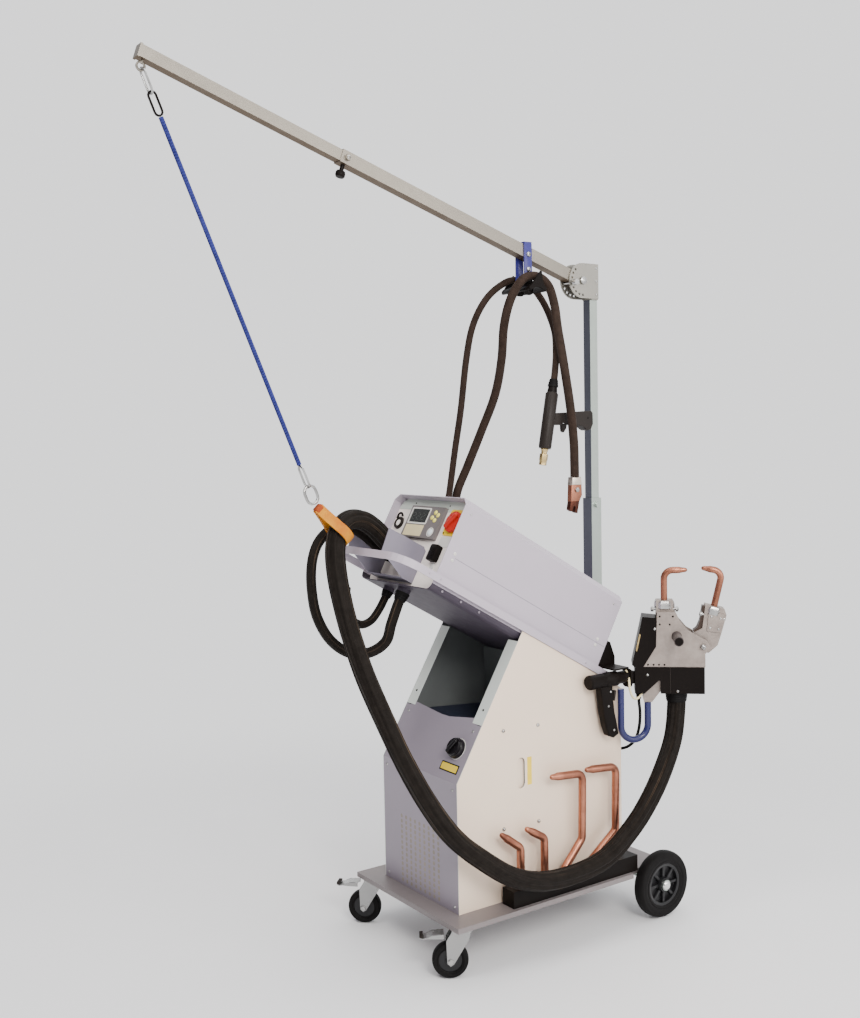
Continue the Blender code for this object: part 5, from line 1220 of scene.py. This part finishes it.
# ------------------------------------------------------------------ boom, bracket and mast
def make_bracket():
    """Blue cheeks over the boom and, below it, the black saddle with its two horns."""
    side = MACHINE @ RIGHT_PLANE
    y, top, arch_z, reach = 0.468, 2.0255, 1.862, 0.042

    def build_cheeks(bm):
        for sign in (-1, 1):
            low, high = sorted((sign * 0.0179, sign * 0.0218))
            add_outline(bm, rounded_loop(y, (top + arch_z + 0.03) / 2, 0.029,
                                         top - arch_z - 0.03, 0.004), low, high, 0.0008)
        add_box(bm, (0.029, 0.0042, 0.0436), (y, top + 0.0012, 0.0), 0.0012)
    piece("bracket_cheeks", BLUE, "boom", side, build_cheeks, 35.0, ("cable_bracket",))

    def saddle(bm):
        outline = (arc(y, arch_z, reach, 30, 120, 24) + arc(y, arch_z, reach - 0.006, 150, -120, 24))
        add_outline(bm, outline, -0.0625, 0.0625, 0.0006)
        for sign in (-1, 1):
            horn = (arc(y, arch_z, reach + 0.001, 38, 22, 5)
                    + [(y + 0.018, arch_z + 0.05), (y + 0.015, arch_z + 0.062),
                       (y + 0.0155, arch_z + 0.076), (y + 0.01, arch_z + 0.078),
                       (y + 0.002, arch_z + 0.068), (y - 0.006, arch_z + 0.056),
                       (y - 0.016, arch_z + 0.047)]
                    + arc(y, arch_z, reach + 0.001, 118, 24, 5)
                    + arc(y, arch_z, reach - 0.01, 142, -104, 8))
            low, high = sorted((sign * 0.0607, sign * 0.066))
            add_outline(bm, horn, low, high, 0.0014)
        for sign in (-1, 1):
            low, high = sorted((sign * 0.017, sign * 0.0226))
            add_outline(bm, rounded_loop(y, arch_z + 0.036, 0.034, 0.05, 0.012), low, high, 0.001)
    piece("cable_saddle", BLACK, "boom", side, saddle)
    place = moved(side, 0, 0, 0.0218)
    screws("bracket_bolts", place, [(y + 0.001, 1.992), (y, 1.948)], 0.0078, 0.0062, body="boom")
    screws("saddle_bolts", moved(side, 0, 0, 0.0226), [(y, 1.912), (y, 1.885)],
           0.005, 0.0036, body="boom", material=DARK_GREY)
    boom_side = moved(BOOM, 0.0175, 0, 0) @ RIGHT_PLANE
    screws("boom_bolts", boom_side, [(-0.868, 0.0)], 0.008, 0.01, body="boom")
    turned("boom_lock_knob", BLACK, "boom", BOOM,
           [(0.006, 0.0), (0.006, 0.016), (0.012, 0.018), (0.0135, 0.022), (0.0135, 0.03),
            (0.0115, 0.034), (0.0, 0.035)], (0, -0.868, -0.0175), 10, rotation=turned_over(-1))
    mast_side = moved(MACHINE, 0.0218, 0, 0) @ RIGHT_PLANE
    screws("head_screws", mast_side, [(0.7385, 1.968), (0.7385, 1.928), (0.7385, 1.888)], 0.004,
           0.0026, body="mast")
    turned("pivot_nut", STEEL, "mast", mast_side,
           [(0.0115, 0.004), (0.0115, 0.0068), (0.009, 0.0086), (0.005, 0.01), (0.0, 0.0104)],
           (0.682, 1.928, 0), angle=50.0)


# ------------------------------------------------------------------ sling
def make_sling():
    """A stitched leather strap round the hose pack, pulled together at its top."""
    plane = (MACHINE @ Matrix.Translation(SLING_CENTRE)
             @ Matrix.Rotation(math.pi / 2 + SLING_TILT, 4, "X"))
    bottom = arc(0, 0, 0.037, 160, 220, 30)
    left = [(-0.0048 - 0.03 * (1 - k / 8) ** 1.25, 0.0127 + (0.0945 - 0.0127) * k / 8)
            for k in range(1, 9)]
    outline = [Vector((x, y, 0)) for x, y in left[::-1] + bottom]
    outline += [Vector((-p.x, p.y, 0)) for p in outline[:8][::-1]]
    smoothed = smooth(outline, 0.004)

    def strap(bm):
        half, thick = 0.015, 0.0021
        section = [(-half, 0.2 * thick), (-0.95 * half, thick), (-0.5 * half, 1.15 * thick),
                   (0.5 * half, 1.15 * thick), (0.95 * half, thick), (half, 0.2 * thick),
                   (0.95 * half, -thick), (-0.95 * half, -thick)]
        rings = []
        for index, point in enumerate(smoothed):
            before = smoothed[max(0, index - 1)]
            after = smoothed[min(len(smoothed) - 1, index + 1)]
            along = (after - before).normalized()
            normal = Vector((along.y, -along.x, 0))
            rings.append([bm.verts.new(point + normal * v + Vector((0, 0, u))) for u, v in section])
        skin(bm, rings)
        bm.faces.new(rings[0])
        bm.faces.new(rings[-1])
    piece("sling_strap", LEATHER, "machine", plane, strap, 50.0, ("hose_sling",))

    def tab(bm):
        add_box(bm, (0.0185, 0.022, 0.0235), (0, 0.0885, 0), 0.003, 3)
        for sign in (-1, 1):
            add_turned(bm, [(0.0042, 0.0), (0.0038, 0.0014), (0.0, 0.002)],
                       (0.0, 0.0885, sign * 0.0117), 16, turned_over(sign))
    piece("sling_tab", LEATHER_EDGE, "machine", plane, tab)

    def stitches(bm):
        for index in range(2, len(smoothed) - 3, 2):
            here, after = smoothed[index], smoothed[index + 1]
            along = (after - here).normalized()
            normal = Vector((along.y, -along.x, 0))
            for z in (-0.0128, 0.0128):
                start = here - normal * 0.0023 + Vector((0, 0, z))
                path = [start, start + along * 0.0012 - normal * 0.0004,
                        start + along * 0.0024 - normal * 0.0004, start + along * 0.0034]
                add_tube(bm, path, 0.00045, 6)
    piece("sling_stitches", STITCH, "machine", plane, stitches)


def make_earth_clamp():
    """A pale crimped sleeve, the copper body with its bolt, and the dark forked jaw."""
    side = moved(MACHINE, 0.112, 0, 0) @ RIGHT_PLANE
    y = 0.56

    def body(bm):
        add_outline(bm, [(y - 0.0195, 1.313), (y - 0.0225, 1.262), (y + 0.011, 1.262),
                         (y + 0.0215, 1.28), (y + 0.0195, 1.313)], -0.009, 0.009, 0.0012)
    piece("clamp_body", COPPER, "cable_drop", side, body, 35.0, ("earth_clamp",))

    def crimp(bm):
        add_outline(bm, [(y - 0.017, 1.3337), (y - 0.02, 1.31), (y + 0.02, 1.31),
                         (y + 0.017, 1.3337)], -0.0115, 0.0115, 0.0035, 3)
    piece("clamp_crimp", CLIP_ZINC, "cable_drop", side, crimp)

    def jaw(bm):
        add_outline(bm, [(y + 0.012, 1.264), (y + 0.003, 1.226), (y - 0.006, 1.23),
                         (y - 0.004, 1.246), (y - 0.011, 1.25), (y - 0.018, 1.232),
                         (y - 0.027, 1.238), (y - 0.022, 1.264)], -0.008, 0.008, 0.0008)
    piece("clamp_jaw", JAW_BROWN, "cable_drop", side, jaw)
    for sign in (-1, 1):
        face = side @ turned_over(sign).to_4x4()
        turned("clamp_nut_" + ("near" if sign > 0 else "far"), STEEL, "cable_drop", face,
               [(0.0078, 0.0085), (0.0078, 0.013), (0.0066, 0.0142), (0.0, 0.0144)],
               (y, 1.296 * sign, 0), 6)


def make_pedals():
    """Each brake pedal: a pressed channel with side cheeks and a dark ribbed toe pad."""
    for hand, swivel in castors():
        def channel(bm):
            rows = [(-0.054, 0.125), (-0.07, 0.1262), (-0.085, 0.1235), (-0.1, 0.1172),
                    (-0.112, 0.115), (-0.119, 0.1185)]
            thick = 0.003
            for (y0, z0), (y1, z1) in zip(rows, rows[1:]):
                corners = [(x, y, z) for x in (-0.018, 0.018)
                           for y, z in ((y0, z0), (y1, z1), (y1, z1 - thick), (y0, z0 - thick))]
                verts = [bm.verts.new(corner) for corner in corners]
                for quad in ((0, 1, 2, 3), (7, 6, 5, 4), (0, 4, 5, 1), (1, 5, 6, 2), (2, 6, 7, 3),
                             (3, 7, 4, 0)):
                    bm.faces.new([verts[k] for k in quad])
            for sign in (-1, 1):
                loop = [(-0.054, 0.1255), (-0.085, 0.124), (-0.1, 0.1175), (-0.098, 0.1145),
                        (-0.08, 0.1135), (-0.054, 0.114)]
                add_outline(bm, loop, sign * 0.0178, sign * 0.0198, plane=RIGHT_PLANE)
        piece("pedal_" + hand, FORK_ZINC, "brake_" + hand, swivel, channel, 30.0,
              ("castor_brake_" + hand,))

        def toe(bm):
            add_box(bm, (0.034, 0.01, 0.0062), (0, -0.115, 0.1195), 0.0015, 2)
            for k in range(5):
                add_box(bm, (0.003, 0.01, 0.0016), (-0.012 + 0.006 * k, -0.115, 0.1232), 0.0006)
        piece("pedal_toe_" + hand, DARK_GREY, "brake_" + hand, swivel, toe)


def make_stud_gun_details():
    side = moved(MACHINE, 0.075 + 0.015, 0, 0) @ RIGHT_PLANE
    screws("stud_grip_screws", side, [(0.56, 1.512), (0.636, 1.508)], 0.003, 0.0014,
           body="cable_drop", material=BLACK)
    top, bottom = Vector((0.075, 0.508, 1.583)), Vector((0.075, 0.477, 1.419))
    down = (bottom - top).normalized()
    turned("stud_nozzle", BRASS, "cable_drop", MACHINE,
           [(0.011, 0.0), (0.0116, 0.002), (0.009, 0.01), (0.009, 0.014), (0.0125, 0.016),
            (0.0125, 0.034), (0.0112, 0.037), (0.0112, 0.0485)], bottom, 6, 30.0,
           rotation=turn_to(down))

    def barrel(bm):
        add_turned(bm, [(0.015, -0.002), (0.019, 0.003), (0.019, 0.16), (0.0175, 0.166),
                        (0.0, 0.167)], top, 40, turn_to(down))
        loop = [(0.498, 1.523), (0.575, 1.526), (0.65, 1.53), (0.6565, 1.523), (0.6575, 1.49),
                (0.648, 1.473), (0.634, 1.4705), (0.626, 1.474), (0.612, 1.488), (0.569, 1.488),
                (0.569, 1.4967), (0.533, 1.4967), (0.533, 1.488), (0.492, 1.488)]
        add_outline(bm, loop, 0.0597, 0.0903, 0.003, 3, plane=RIGHT_PLANE)
    piece("stud_gun_moulding", DARK_GREY, "cable_drop", MACHINE, barrel, 40.0, ("stud_gun",))


# ------------------------------------------------------------------ edges of the CAD pieces
def round_edges():
    """A fine rounding on the sharp edges of the sheet and cast pieces, which catches the light."""
    widths = ((0.0008, ("platform", "side_panel_right", "side_panel_left", "front_panel",
                        "rear_panel", "storage_bin", "box_tray", "hood", "hose_guide")),
              (0.001, ("mast_post", "mast_tube", "boom_tube", "boom_extension", "arm_holder",
                        "display_module")),
              (0.0006, ("mast_head", "gun_frame", "gun_arm", "castor_fork_right",
                        "castor_fork_left", "index_pin", "rear_axle", "gun_support")),
              (0.0012, ("gun_body", "gun_cylinder")))
    for width, nodes in widths:
        for node in nodes:
            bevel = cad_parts[node].modifiers.new("edges", "BEVEL")
            bevel.width = width
            bevel.segments = 2
            bevel.limit_method = "ANGLE"
            bevel.angle_limit = math.radians(40.0)
            bevel.use_clamp_overlap = True
            bevel.harden_normals = True


make_camera()
make_cords()
repaint_all()
round_edges()
make_cabinet_details()
make_front_plate()
make_display()
make_main_switch()
make_box_details()
make_boots()
make_rear_wheels()
make_castors()
make_copper_arms()
make_gun_details()
make_gun_grip()
make_bracket()
make_sling()
make_stud_gun_details()
make_earth_clamp()
make_pedals()
make_stage()
